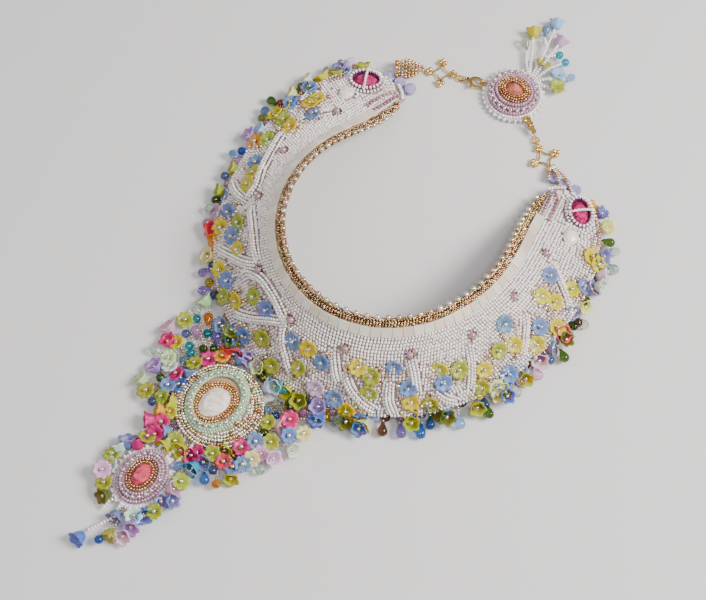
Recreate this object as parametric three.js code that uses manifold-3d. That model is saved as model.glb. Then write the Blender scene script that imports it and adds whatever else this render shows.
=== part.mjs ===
// Bib necklace lying on a flat surface: a stiff bead-embroidered collar, open at the back, standing on its rim with
// the neck edge raised; lucite flowers on the collar and round its rim; a round pendant and a smaller drop below the
// front; filigree links and lobster clasps on either side of a round back medallion with a tassel.
// Millimetres. +Y runs from the pendant to the clasps, +Z up. Everything is placed from the neck's centre at
// surface level, and the finished group is moved so that the centre of its base is the origin.
import * as THREE from 'three';
import { mergeVertices } from 'three/addons/utils/BufferGeometryUtils.js';
import Module from 'manifold-3d';

const wasm = await Module();
wasm.setup();

// ---------- driving dimensions ----------
const GAP = 0.3; // between neighbouring pieces

// The collar in radial sections. Angles start at the front and grow towards the ends, the same on both sides.
const COLLAR_SECTIONS = [
  { angle: 0, neckRadius: 92.2, neckHeight: 41.9, rimRadius: 122.5 },
  { angle: 15, neckRadius: 89.6, neckHeight: 41.3, rimRadius: 120.9 },
  { angle: 30, neckRadius: 82.7, neckHeight: 39.5, rimRadius: 116.2 },
  { angle: 45, neckRadius: 73.8, neckHeight: 36.5, rimRadius: 109.2 },
  { angle: 60, neckRadius: 65.0, neckHeight: 32.4, rimRadius: 101.8 },
  { angle: 75, neckRadius: 57.9, neckHeight: 27.1, rimRadius: 96.0 },
  { angle: 90, neckRadius: 53.3, neckHeight: 20.9, rimRadius: 92.4 },
  { angle: 105, neckRadius: 52.1, neckHeight: 14.2, rimRadius: 89.5 },
  { angle: 120, neckRadius: 55.4, neckHeight: 8.2, rimRadius: 84.0 },
  { angle: 135, neckRadius: 63.0, neckHeight: 5.0, rimRadius: 74.0 },
];
const COLLAR_END_ANGLE = 133;
const COLLAR_END_LINE = 46; // both ends stop on this line behind the neck's centre
const COLLAR_WALL = 3.2;
const RIM_HEIGHT = 5.5;
const RIM_FOOT = 3; // width of the flat foot that stands on the surface
const CROWN = 0.06; // how far the collar's face stands proud at mid width
const COLLAR_STATIONS = 54;

const TILE = { depth: 5, thickness: 1.5, pitch: 5.15, joint: 0.5, jointDepth: 0.7, endAngle: 112 };
const EDGING = { width: 3.4, endWidth: 2.6, thickness: 2.4, endAngle: 129 };

const FIELD_END_ANGLE = 102.6; // the flower fields stop short of the end cabochons
const FLOWER = { radius: 4, height: 3.6, petals: 5 };
const FIELD_BED = { near: 0.44, far: 0.985, low: 0.5, high: 1.4, step: 4.5 };
const FRINGE_CARRIER = { inner: 0.4, outer: 2.8, low: 0.5, high: 4.2, step: 5 };

const CRYSTAL = { length: 13.6, width: 8.6, height: 3.4 };
const BEZEL = { width: 2.1, height: 2.2 };
const OVAL_CABOCHON = { length: 9.6, width: 8, height: 3 };
const STONE_LIFT = 1.05; // the stones' flat backs above the curved collar
const DISC = { radius: 3.1, thickness: 3 };

const CLASP = { scale: 0.88, thickness: 2.2, slot: 1.15, lever: 0.8, pin: 0.38, pinHole: 0.55 };
const RING = { radius: 1.95, wire: 0.55 };
const JUMP_RING = { radius: 1.6, wire: 0.45, height: 1.6 };
const FILIGREE = { reach: 6.5, ball: 1.15, wire: 0.55, height: 1.5 };

const BACK = { x: -0.8, y: 79, radius: 13.5 };
const PENDANT = { x: -18.6, y: -150.6, radius: 21.2 };
const DROP = { x: -26.6, y: -199.6, radiusX: 11.8, radiusY: 14.8 };

const COLOUR = {
  white: [0xf4efe9, 0.35, 0],
  ivory: [0xf3ead9, 0.3, 0],
  gold: [0xc99a3f, 0.28, 1],
  champagne: [0xd9c3a3, 0.25, 0.8],
  magenta: [0xd23a8c, 0.08, 0],
  salmon: [0xc4685a, 0.15, 0],
  red: [0xb83448, 0.08, 0],
  mauve: [0xc9a3ab, 0.3, 0.3],
  lilac: [0xb9acd6, 0.5, 0],
  yellowGreen: [0xbfc23c, 0.5, 0],
  blue: [0x8199bb, 0.5, 0],
};

const DEG = Math.PI / 180;
const UP = new THREE.Vector3(0, 0, 1);
const necklace = new THREE.Group();

// ---------- solids ----------

// A closed solid from a geometry whose corners are shared and whose flat-collapsed triangles are dropped.
function toSolid(geometry) {
  const bare = geometry.clone();
  bare.deleteAttribute('normal');
  bare.deleteAttribute('uv');
  const merged = mergeVertices(bare, 1e-4);
  const corners = merged.index.array;
  const kept = [];
  for (let i = 0; i < corners.length; i += 3) {
    const [a, b, c] = corners.slice(i, i + 3);
    if (a !== b && b !== c && a !== c) kept.push(a, b, c);
  }
  return new wasm.Manifold(new wasm.Mesh({
    numProp: 3,
    vertProperties: new Float32Array(merged.attributes.position.array),
    triVerts: new Uint32Array(kept),
  }));
}

// The geometry of a solid's largest body.
function toGeometry(solid) {
  const bodies = solid.decompose().sort((a, b) => b.volume() - a.volume());
  const mesh = bodies[0].getMesh();
  const geometry = new THREE.BufferGeometry();
  geometry.setAttribute('position', new THREE.BufferAttribute(new Float32Array(mesh.vertProperties), 3));
  geometry.setIndex(new THREE.BufferAttribute(new Uint32Array(mesh.triVerts), 1));
  return geometry;
}

const joined = (geometries) => geometries.map(toSolid).reduce((a, b) => a.add(b));

function addMesh(name, geometry, colour) {
  const [color, roughness, metalness] = COLOUR[colour];
  const flat = geometry.index ? geometry.toNonIndexed() : geometry;
  flat.computeVertexNormals();
  const mesh = new THREE.Mesh(flat, new THREE.MeshStandardMaterial({ color, roughness, metalness }));
  mesh.name = name;
  necklace.add(mesh);
  return mesh;
}

// A closed solid through sections with equally many points, its ends capped by fans from each first point.
function loft(sections) {
  const count = sections[0].length;
  const index = [];
  const quad = (a, b, c, d) => index.push(a, b, c, a, c, d);
  for (let s = 0; s < (sections.length - 1) * count; s += count) {
    for (let k = 0; k < count; k += 1) {
      const next = (k + 1) % count;
      quad(s + k, s + next, s + next + count, s + k + count);
    }
  }
  const last = (sections.length - 1) * count;
  for (let k = 1; k < count - 1; k += 1) {
    index.push(0, k + 1, k);
    index.push(last, last + k, last + k + 1);
  }
  const geometry = new THREE.BufferGeometry();
  const points = sections.flat().flatMap((p) => p.toArray());
  geometry.setAttribute('position', new THREE.Float32BufferAttribute(points, 3));
  geometry.setIndex(index);
  return facingOut(geometry);
}

// Turns every triangle over if the solid is inside out.
function facingOut(geometry) {
  const at = (i) => new THREE.Vector3().fromBufferAttribute(geometry.attributes.position, geometry.index.array[i]);
  let volume = 0;
  for (let i = 0; i < geometry.index.count; i += 3) volume += at(i).dot(at(i + 1).cross(at(i + 2)));
  if (volume < 0) geometry.setIndex(Array.from(geometry.index.array).reverse());
  return geometry;
}

// A body turned about +Z from a half outline of [radius, height] corners, stretched to an oval if asked.
function turned(corners, segments, stretchX = 1, stretchY = 1) {
  const outline = corners.map(([radius, height]) => new THREE.Vector2(radius, height));
  return new THREE.LatheGeometry(outline, segments).rotateX(Math.PI / 2).scale(stretchX, stretchY, 1);
}

// ---------- the collar's surface ----------

const mirroredSections = [...COLLAR_SECTIONS.slice(1).reverse(), ...COLLAR_SECTIONS];
const sectionCurve = new THREE.CatmullRomCurve3(
  mirroredSections.map((s) => new THREE.Vector3(s.neckRadius, s.neckHeight, s.rimRadius)), false, 'catmullrom', 0.5,
);
const lastSection = COLLAR_SECTIONS[COLLAR_SECTIONS.length - 1].angle;

// Neck radius and height and rim radius at an angle, positive on the wearer's right, which is the model's -X side.
function collarSection(angle) {
  const { x: neck, y: height, z: rim } = sectionCurve.getPoint((angle / lastSection + 1) / 2);
  const behind = -Math.cos(angle * DEG);
  return { neck, height, rim: behind > 0.1 ? Math.min(rim, COLLAR_END_LINE / behind) : rim };
}

// A place on the collar: across is 0 at the neck edge and 1 at the rim, lift is the height above the face.
// Its X axis runs round the collar, Y down the slope and Z out of the face.
function collarPlace(angle, across, lift = 0) {
  const { neck, height, rim } = collarSection(angle);
  const slant = Math.hypot(rim - neck, height - RIM_HEIGHT);
  const run = (rim - neck) / slant;
  const fall = (height - RIM_HEIGHT) / slant;
  const away = new THREE.Vector3(-Math.sin(angle * DEG), -Math.cos(angle * DEG), 0);
  const down = away.clone().multiplyScalar(run).addScaledVector(UP, -fall);
  const out = away.clone().multiplyScalar(fall).addScaledVector(UP, run);
  const point = away.clone().multiplyScalar(neck).addScaledVector(UP, height)
    .addScaledVector(down, slant * across).addScaledVector(out, lift);
  return new THREE.Matrix4().makeBasis(down.clone().cross(out), down, out).setPosition(point);
}

const collarPoint = (angle, across, lift) => new THREE.Vector3().setFromMatrixPosition(collarPlace(angle, across, lift));

// A place outside the rim: out is the distance beyond it, z the height above the surface.
function rimPoint(angle, out, z) {
  const radius = collarSection(angle).rim + out;
  return new THREE.Vector3(-Math.sin(angle * DEG) * radius, -Math.cos(angle * DEG) * radius, z);
}

// How much longer a step along the neck edge is than the arc of its angle.
function neckStretch(angle) {
  const step = 0.5;
  const run = collarPoint(angle - step, 0, 0).distanceTo(collarPoint(angle + step, 0, 0));
  return run / (2 * step * DEG * collarSection(angle).neck);
}

const slantAt = (angle) => {
  const { neck, height, rim } = collarSection(angle);
  return Math.hypot(rim - neck, height - RIM_HEIGHT);
};

function evenly(from, to, steps) {
  return Array.from({ length: steps + 1 }, (_, i) => from + ((to - from) * i) / steps);
}

// ---------- collar, tiles, edging ----------

function collarBase() {
  const sections = evenly(-COLLAR_END_ANGLE, COLLAR_END_ANGLE, COLLAR_STATIONS).map((angle) => {
    const { neck, rim } = collarSection(angle);
    const footShare = Math.min(0.3, RIM_FOOT / (rim - neck));
    return [
      collarPoint(angle, 1, 0),
      rimPoint(angle, 0, 0),
      rimPoint(angle, -footShare * (rim - neck), 0),
      collarPoint(angle, 1 - 2 * footShare, -COLLAR_WALL),
      collarPoint(angle, 0, -COLLAR_WALL),
      collarPoint(angle, 0, 0),
      collarPoint(angle, 0.5, CROWN),
    ];
  });
  return loft(sections);
}

// Flat tile beads side by side along the neck, joined in one band with a groove at each joint.
function neckTiles() {
  const near = 0.6;
  const section = (angle, top) => [[near, 0.35], [near + TILE.depth, 0.35], [near + TILE.depth, top], [near, top]]
    .map(([edge, lift]) => collarPoint(angle, edge / slantAt(angle), lift));
  const high = 0.35 + TILE.thickness;
  const sections = [section(-TILE.endAngle, high)];
  let angle = -TILE.endAngle;
  while (angle < TILE.endAngle) {
    const perDegree = collarSection(angle).neck * DEG * neckStretch(angle);
    const joint = TILE.joint / perDegree;
    angle += TILE.pitch / perDegree;
    sections.push(section(angle - joint, high), section(angle - joint / 2, high - TILE.jointDepth), section(angle, high));
  }
  return loft(sections);
}

// The braided bead edging, which carries the collar's slope on towards the neck and narrows towards its ends.
function neckEdging() {
  const { width, endWidth, thickness, endAngle } = EDGING;
  return loft(evenly(-endAngle, endAngle, 48).map((angle) => {
    const slant = slantAt(angle);
    const reach = THREE.MathUtils.lerp(width, endWidth, Math.abs(angle) / endAngle);
    return [
      collarPoint(angle, -reach / slant, -thickness),
      collarPoint(angle, -GAP / slant, -thickness),
      collarPoint(angle, -GAP / slant, 0),
      collarPoint(angle, -reach / slant, 0),
    ];
  }));
}

addMesh('collar_base', collarBase(), 'white');
addMesh('neck_tiles', neckTiles(), 'ivory');
addMesh('neck_edging', neckEdging(), 'gold');

// ---------- flowers, drops and their threads ----------

// A flower bell: a petalled funnel with its stem end at the origin and its mouth towards +Z.
function flower(radius = FLOWER.radius, height = FLOWER.height) {
  const bell = new THREE.ConeGeometry(radius, height, FLOWER.petals * 2).rotateX(-Math.PI / 2);
  bell.translate(0, 0, height / 2);
  const corners = bell.attributes.position;
  for (let i = 0; i < corners.count; i += 1) {
    const x = corners.getX(i);
    const y = corners.getY(i);
    const share = 1 - 0.1 * (1 - Math.cos(Math.atan2(y, x) * FLOWER.petals));
    const inMouth = corners.getZ(i) > height / 2 && Math.hypot(x, y) < 0.01;
    corners.setXYZ(i, x * share, y * share, corners.getZ(i) - (inMouth ? height * 0.4 : 0));
  }
  return bell;
}

// A pear-shaped drop lying along +Z, its narrow end at the origin.
function drop(length = 8, radius = 2.6) {
  return turned([[0, 0], [0.5 * radius, 0.15 * length], [radius, 0.66 * length], [0, length]], 6);
}

const ball = (radius) => new THREE.IcosahedronGeometry(radius, 0);

// The bar of a thread between two points.
function threadBar(from, to, width, thickness) {
  const along = to.clone().sub(from);
  const bar = new THREE.BoxGeometry(along.length() + 0.8, width, thickness);
  const side = UP.clone().cross(along).normalize();
  const turn = new THREE.Matrix4().makeBasis(along.clone().normalize(), side, along.clone().cross(side).normalize());
  return bar.applyMatrix4(turn.setPosition(from.clone().add(to).multiplyScalar(0.5)));
}

// A wedge of space between two angles, which trims what would reach a neighbour.
function wedge(fromAngle, toAngle) {
  const reach = 400;
  const rays = evenly(fromAngle, toAngle, 4).map((a) => [-Math.sin(a * DEG) * reach, -Math.cos(a * DEG) * reach]);
  const shape = new THREE.Shape([[0, 0], ...rays].map(([x, y]) => new THREE.Vector2(x, y)));
  return new THREE.ExtrudeGeometry(shape, { depth: 200, bevelEnabled: false }).translate(0, 0, -50);
}

// The flower fields on the collar: [angle, percent across]. Positive angles are on the -X side.
const COLLAR_FIELDS = [
  { name: 'flowers_left_back', from: 69.7, to: 110,
    places: [[98, 75], [95, 73], [91, 55], [92, 96], [100, 97], [82, 65], [85, 83], [75, 80], [74, 95]] },
  { name: 'flowers_left_side', from: 36.8, to: 69.5,
    places: [[65, 72], [60, 65], [56, 65], [48, 82], [43, 61], [45, 92], [39.5, 70]] },
  { name: 'flowers_left_front', from: 7.4, to: 36.6,
    places: [[34, 59], [32.5, 90], [28.5, 80], [25.5, 94], [22, 78], [19, 53], [14, 49], [14.5, 92], [10.2, 74]] },
  { name: 'flowers_front', from: -9.5, to: 7.2,
    places: [[4.4, 91], [2.3, 50], [-2, 47], [-2, 74], [-6.3, 54], [-7, 86]] },
  { name: 'flowers_right_front', from: -32.4, to: -9.7,
    places: [[-12.3, 88], [-15.4, 48], [-19.4, 54], [-19.6, 73], [-15.6, 97], [-25, 43], [-28.5, 67], [-29.8, 84]] },
  { name: 'flowers_right_side', from: -64.4, to: -32.6,
    places: [[-35, 88], [-37.3, 53], [-42.5, 62], [-38, 71], [-49.7, 74], [-48.3, 90], [-52.6, 98], [-60, 44],
      [-55.3, 64], [-61.1, 71], [-56.7, 95]] },
  { name: 'flowers_right_back', from: -110, to: -64.6,
    places: [[-68, 88], [-71.4, 76], [-76.3, 92], [-78.4, 55], [-81.2, 72], [-87, 50], [-89, 82], [-92.4, 94],
      [-101.8, 94]] },
];

const collarFlower = ([angle, percent], grow = 0) => flower(FLOWER.radius + grow, FLOWER.height + grow)
  .applyMatrix4(collarPlace(angle, percent / 100, 0.6 - grow));

// A flower field: the thin bed of threads and small beads, and the flowers standing in it.
function collarField({ from, to, places }) {
  const { near, far, low, high, step } = FIELD_BED;
  const first = Math.max(from + 0.2, -FIELD_END_ANGLE);
  const last = Math.min(to - 0.2, FIELD_END_ANGLE);
  const bed = loft(evenly(first, last, Math.ceil((last - first) / step)).map((angle) => [
    collarPoint(angle, near, low), collarPoint(angle, far, low), collarPoint(angle, far, high), collarPoint(angle, near, high),
  ]));
  const solid = joined([bed, ...places.map((p) => collarFlower(p))]);
  return toGeometry(solid.intersect(toSolid(wedge(from, to))));
}

COLLAR_FIELDS.forEach((field) => addMesh(field.name, collarField(field), 'yellowGreen'));

// ---------- rim fringe ----------

// What hangs from the rim: [angle, kind, distance beyond the rim]. Bells open outwards, drops and balls lie flat.
const FRINGES = [
  { name: 'fringe_left_back', from: 62, to: 121,
    hangs: [[117, 'bell', 7], [111, 'bell', 3], [103, 'drop', 6], [96, 'bell', 4], [90, 'drop', 8], [83.5, 'drop', 5],
      [77, 'bell', 6], [70, 'drop', 4], [65, 'bell', 3]] },
  { name: 'fringe_left_front', from: 32, to: 61.6,
    hangs: [[57.5, 'bell', 5], [50.5, 'bell', 3], [44, 'bell', 3], [39.5, 'drop', 3], [35, 'drop', 6]] },
  { name: 'fringe_front', from: -20, to: 31.6,
    hangs: [[28.5, 'drop', 6], [24.5, 'bell', 5], [20, 'bell', 4], [15, 'bell', 6], [10, 'bell', 3], [5, 'ball', 3],
      [-1.4, 'bell', 3], [-5.5, 'bell', 5], [-10, 'bell', 5], [-15, 'bell', 5]] },
  { name: 'fringe_right_front', from: -62, to: -20.4,
    hangs: [[-24, 'drop', 4], [-28, 'drop', 5], [-32.5, 'bell', 6], [-36.5, 'bell', 3], [-41.5, 'drop', 7],
      [-46, 'bell', 4], [-49.5, 'drop', 7], [-53.5, 'bell', 7], [-58.5, 'bell', 4]] },
  { name: 'fringe_right_back', from: -121, to: -62.4,
    hangs: [[-67, 'bell', 3], [-71.5, 'drop', 4], [-76.5, 'bell', 4], [-82, 'drop', 3], [-87, 'bell', 3],
      [-92.5, 'bell', 2], [-98.5, 'bell', 4], [-105, 'drop', 6], [-110.5, 'drop', 5], [-116.5, 'bell', 5]] },
];

// A piece turned to point from one point towards another, starting at the first.
function aimed(geometry, from, to) {
  const turn = new THREE.Quaternion().setFromUnitVectors(UP, to.clone().sub(from).normalize());
  return geometry.applyQuaternion(turn).translate(from.x, from.y, from.z);
}

function fringeHang([angle, kind, beyond]) {
  if (kind === 'ball') {
    return ball(3.2).translate(...rimPoint(angle, beyond + 0.6, 3.6).toArray());
  }
  if (kind === 'drop') {
    return aimed(drop(5 + beyond), rimPoint(angle, 1.2, 3), rimPoint(angle, 9, 3));
  }
  return aimed(flower(3.7, 4.5 + beyond * 0.6), rimPoint(angle, 1, 2.4), rimPoint(angle, 6, 5.4));
}

function fringe({ from, to, hangs }) {
  const { inner, outer, low, high, step } = FRINGE_CARRIER;
  const angles = evenly(from + 0.2, to - 0.2, Math.ceil((to - from) / step));
  const carrier = loft(angles.map((angle) => [
    rimPoint(angle, inner, low), rimPoint(angle, outer, low), rimPoint(angle, outer, high), rimPoint(angle, inner, high),
  ]));
  const nearby = COLLAR_FIELDS.flatMap((f) => f.places).filter(([angle, percent]) => (
    percent > 80 && angle > from - 5 && angle < to + 5
  ));
  const outside = joined([carrier, ...hangs.map(fringeHang)]);
  const room = joined(nearby.map((p) => collarFlower(p, GAP)).concat(collarBaseRoom(from, to)));
  return toGeometry(outside.subtract(room).intersect(toSolid(wedge(from + 0.1, to - 0.1))));
}

// The collar's rim and slope, with a gap round them, that the fringe keeps out of.
function collarBaseRoom(from, to) {
  const angles = evenly(from - 6, to + 6, Math.ceil((to - from) / 4));
  return loft(angles.map((angle) => [
    rimPoint(angle, GAP, -1), rimPoint(angle, GAP, RIM_HEIGHT + 0.1),
    collarPoint(angle, 0.5, GAP + 0.1), collarPoint(angle, 0.5, -4),
  ]));
}

FRINGES.forEach((stretch) => addMesh(stretch.name, fringe(stretch), 'blue'));

// ---------- stones, cabochons and discs at the collar's ends ----------

// Where the stones sit: the side's sign, places as [angle, across], and the turn of the crystal's long axis.
const ENDS = [
  { side: 'left', crystal: [119, 0.72], crystalTurn: -35, cabochon: [109, 0.6], discs: [-60.2, -53.6, -47] },
  { side: 'right', crystal: [-119.5, 0.72], crystalTurn: 14, cabochon: [-107.8, 0.58], discs: [43.4, 50, 56.6] },
];

function crystal() {
  const { length, width, height } = CRYSTAL;
  const facets = [[0, 0], [0.46, 0], [0.5, 0.3 * height], [0.3, height], [0, height]];
  return turned(facets, 10, length, width);
}

function bezel() {
  const { length, width } = CRYSTAL;
  const outer = 1 + (4 * BEZEL.width) / (length + width);
  const wall = [[1, 0], [outer, 0], [outer, 0.6 * BEZEL.height], [1, BEZEL.height], [1, 0]];
  return turned(wall, 16, length / 2 + GAP, width / 2 + GAP);
}

function ovalCabochon({ length, width, height }, segments = 12) {
  const dome = [[0, 0], [0.48, 0], [0.5, 0.3 * height], [0.32, 0.85 * height], [0, height]];
  return turned(dome, segments, length, width);
}

ENDS.forEach(({ side, crystal: [angle, across], crystalTurn, cabochon, discs }) => {
  const seat = collarPlace(angle, across, STONE_LIFT).multiply(new THREE.Matrix4().makeRotationZ(crystalTurn * DEG));
  addMesh(`crystal_${side}`, toGeometry(toSolid(crystal())).applyMatrix4(seat), 'magenta');
  addMesh(`crystal_bezel_${side}`, toGeometry(toSolid(bezel())).applyMatrix4(seat), 'white');
  const dome = toGeometry(toSolid(ovalCabochon(OVAL_CABOCHON)));
  addMesh(`oval_cabochon_${side}`, dome.applyMatrix4(collarPlace(...cabochon, STONE_LIFT)), 'ivory');
  discs.forEach((x, i) => {
    const disc = new THREE.CylinderGeometry(DISC.radius, DISC.radius * 0.92, DISC.thickness, 12);
    disc.rotateX(Math.PI / 2).translate(x, COLLAR_END_LINE + GAP + DISC.radius + 0.3, 2.2);
    addMesh(`disc_${side}_${i + 1}`, disc, 'lilac');
  });
});

// ---------- closing: caps, filigree links, jump rings, clasps, rings ----------

// A dome of gold seed beads over the collar's gathered threads.
function beadCap(radius, height) {
  return toGeometry(toSolid(turned([
    [0, 0.2], [0.92 * radius, 0.2], [radius, 0.35 * height], [0.7 * radius, 0.8 * height], [0, height],
  ], 12)));
}

// A four-cornered filigree link: three balls at each corner and hollow-curved wires between the corners.
function filigree(firstCorner) {
  const { reach, ball: ballRadius, wire, height } = FILIGREE;
  const at = (angle, radius) => new THREE.Vector3(Math.cos(angle) * radius, Math.sin(angle) * radius, height);
  const parts = [];
  for (let corner = 0; corner < 4; corner += 1) {
    const angle = firstCorner * DEG + corner * (Math.PI / 2);
    const centre = at(angle, reach);
    [0, 1, 2].forEach((k) => {
      const turn = angle + (k - 1) * (Math.PI / 1.8);
      parts.push(new THREE.OctahedronGeometry(ballRadius * 1.15).translate(
        centre.x + Math.cos(turn) * ballRadius, centre.y + Math.sin(turn) * ballRadius, height,
      ));
    });
    const next = angle + Math.PI / 2;
    const bow = new THREE.QuadraticBezierCurve3(at(angle, reach), at(angle + Math.PI / 4, 1), at(next, reach));
    parts.push(wireAlong(bow, wire, 4, 4));
  }
  return toGeometry(joined(parts));
}

// A round or square wire along a curve, with closed ends.
function wireAlong(curve, radius, steps, sides) {
  const section = new THREE.Shape(evenly(0, 1, sides).slice(0, -1).map((t) => (
    new THREE.Vector2(Math.cos(t * 2 * Math.PI) * radius, Math.sin(t * 2 * Math.PI) * radius)
  )));
  return new THREE.ExtrudeGeometry(section, { steps, extrudePath: curve, bevelEnabled: false });
}

function wireRing(radius, wire) {
  return toGeometry(toSolid(new THREE.TorusGeometry(radius, wire, 5, 12)));
}

// The lobster clasp in its own plane, tail at the origin's side and nose towards +X. The gap in its -Y arm is closed
// by the lever, whose pin crosses the slot between the two cheeks.
const CLASP_OUTER = { x: 5.2, radiusX: 4.9, radiusY: 3.6 };
const CLASP_INNER = { x: 5.6, radiusX: 3.4, radiusY: 2.35 };
const CLASP_PIVOT = { x: 3.0, y: -2.45 };
const CLASP_EYE = { x: -0.9, radius: 1.5, hole: 0.75 };

function plate(shape, thickness, centreZ = 0) {
  const geometry = new THREE.ExtrudeGeometry(shape, { depth: thickness, bevelEnabled: false, curveSegments: 10 });
  return geometry.translate(0, 0, centreZ - thickness / 2);
}

function roundShape(x, y, radiusX, radiusY = radiusX, corners = 20) {
  const points = evenly(0, 2 * Math.PI, corners).slice(0, -1);
  return new THREE.Shape(points.map((a) => new THREE.Vector2(x + Math.cos(a) * radiusX, y + Math.sin(a) * radiusY)));
}

function claspBody() {
  const { thickness, slot, pin } = CLASP;
  const { x: eyeX, radius: eyeRadius, hole } = CLASP_EYE;
  const loop = joined([
    plate(roundShape(CLASP_OUTER.x, 0, CLASP_OUTER.radiusX, CLASP_OUTER.radiusY, 24), thickness),
    plate(roundShape(eyeX, 0, eyeRadius, eyeRadius, 12), thickness),
  ]);
  const inside = joined([
    plate(roundShape(CLASP_INNER.x, 0, CLASP_INNER.radiusX, CLASP_INNER.radiusY, 20), thickness + 2),
    plate(roundShape(eyeX, 0, hole, hole, 10), thickness + 2),
  ]);
  const gate = toSolid(new THREE.BoxGeometry(4.6, 4, thickness + 2).translate(6.3, -3.4, 0));
  const leverSlot = toSolid(new THREE.BoxGeometry(3.6, 5, slot).translate(3.2, -3.4, 0));
  const pivotPin = toSolid(plate(roundShape(CLASP_PIVOT.x, CLASP_PIVOT.y, pin, pin, 10), thickness - 0.4));
  return toGeometry(loop.subtract(inside).subtract(gate).subtract(leverSlot).add(pivotPin));
}

function claspLever() {
  const { lever, pinHole } = CLASP;
  const { x, y } = CLASP_PIVOT;
  const arm = new THREE.Shape([
    [x - 0.5, y + 0.8], [x - 0.95, y - 0.1], [x - 1.1, y - 2.3], [x - 0.2, y - 2.5], [x + 0.5, y - 1.15],
    [x + 2.6, y - 1.0], [x + 4.6, y - 0.6], [x + 5.3, y + 0.1], [x + 5.3, y + 0.75], [x + 2.6, y + 0.2],
    [x + 0.8, y + 0.35], [x + 0.3, y + 0.85],
  ].map(([px, py]) => new THREE.Vector2(px, py)));
  const hole = toSolid(plate(roundShape(x, y, pinHole, pinHole, 10), lever + 2));
  return toGeometry(toSolid(plate(arm, lever)).subtract(hole)).translate(-x, -y, 0);
}

// One clasp: where its nose is, which way its tail runs, its height, and its roll about its own length.
const CLASPS = [
  { side: 'left', nose: [-17.1, 74.4], tailTowards: 194, z: 2.75, roll: 0, ringSide: 1.2 },
  { side: 'right', nose: [12.9, 70.8], tailTowards: -33, z: 3.9, roll: -90, ringSide: 1.2 },
];

CLASPS.forEach(({ side, nose, tailTowards, z, roll, ringSide }) => {
  const place = new THREE.Matrix4().makeTranslation(nose[0], nose[1], z)
    .multiply(new THREE.Matrix4().makeRotationZ((tailTowards + 180) * DEG))
    .multiply(new THREE.Matrix4().makeRotationX(roll * DEG))
    .multiply(new THREE.Matrix4().makeScale(CLASP.scale, CLASP.scale, CLASP.scale))
    .multiply(new THREE.Matrix4().makeTranslation(-9.3, 0, 0));
  addMesh(`clasp_body_${side}`, claspBody().applyMatrix4(place), 'gold');
  const lever = addMesh(`clasp_lever_${side}`, claspLever(), 'gold');
  lever.applyMatrix4(place.clone().multiply(new THREE.Matrix4().makeTranslation(CLASP_PIVOT.x, CLASP_PIVOT.y, 0)));
  const ring = wireRing(RING.radius / CLASP.scale, RING.wire / CLASP.scale).rotateX(Math.PI / 2);
  ring.translate(9.3, ringSide, 0).applyMatrix4(place);
  addMesh(`clasp_ring_${side}`, ring, 'gold');
});

const CLOSING = [
  { side: 'left', cap: [-52.6, 59.2], capRadius: 6.1, link: [-39.6, 68.2], corner: 28, ring: [-29.5, 71.3] },
  { side: 'right', cap: [46.9, 57.0], capRadius: 4.1, link: [33.4, 57.2], corner: 63, ring: [23.9, 63.4] },
];

CLOSING.forEach(({ side, cap, capRadius, link, corner, ring }) => {
  addMesh(`bead_cap_${side}`, beadCap(capRadius, capRadius).translate(cap[0], cap[1], 0), 'champagne');
  addMesh(`filigree_${side}`, filigree(corner).translate(link[0], link[1], 0), 'gold');
  const jump = wireRing(JUMP_RING.radius, JUMP_RING.wire).translate(ring[0], ring[1], JUMP_RING.height);
  addMesh(`jump_ring_${side}`, jump, 'gold');
});

// ---------- medallions ----------

// A beaded medallion: flat underneath, stepping up over its bead rows to the seat of its cabochon.
function medallion(radiusX, radiusY, height) {
  return toGeometry(toSolid(turned([
    [0, 0], [0.86, 0], [0.97, 0.25 * height], [0.97, 0.55 * height], [0.7, 0.85 * height], [0.45, height], [0, height],
  ], 24, radiusX, radiusY)));
}

// An egg-shaped or oval cabochon seated on a medallion.
function seatedCabochon(size, z, narrowing, turn) {
  const dome = toGeometry(toSolid(ovalCabochon(size, 14)));
  const corners = dome.attributes.position;
  for (let i = 0; i < corners.count; i += 1) {
    const share = 1 - narrowing * (corners.getY(i) / size.width);
    corners.setX(i, corners.getX(i) * share);
  }
  return dome.rotateZ(turn * DEG).translate(0, 0, z);
}

addMesh('back_medallion', medallion(BACK.radius, BACK.radius, 7.2).translate(BACK.x, BACK.y, 0), 'mauve');
const backStone = { length: 9.5, width: 7, height: 2.6 };
addMesh('back_cabochon', seatedCabochon(backStone, 7.5, 0, 0).translate(BACK.x, BACK.y, 0), 'salmon');

addMesh('pendant_medallion', medallion(PENDANT.radius, PENDANT.radius, 7.6).translate(PENDANT.x, PENDANT.y, 0), 'champagne');
const pendantStone = { length: 13, width: 17, height: 3.6 };
addMesh('pendant_cabochon', seatedCabochon(pendantStone, 7.9, -0.2, -14)
  .translate(PENDANT.x - 2, PENDANT.y - 1, 0), 'ivory');

addMesh('drop_medallion', medallion(DROP.radiusX, DROP.radiusY, 6.4).translate(DROP.x, DROP.y, 0), 'mauve');
const dropStone = { length: 8, width: 11.6, height: 3 };
addMesh('drop_cabochon', seatedCabochon(dropStone, 6.7, 0, 0).translate(DROP.x, DROP.y, 0), 'red');

// ---------- flowers round the pendant and the drop ----------

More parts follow.
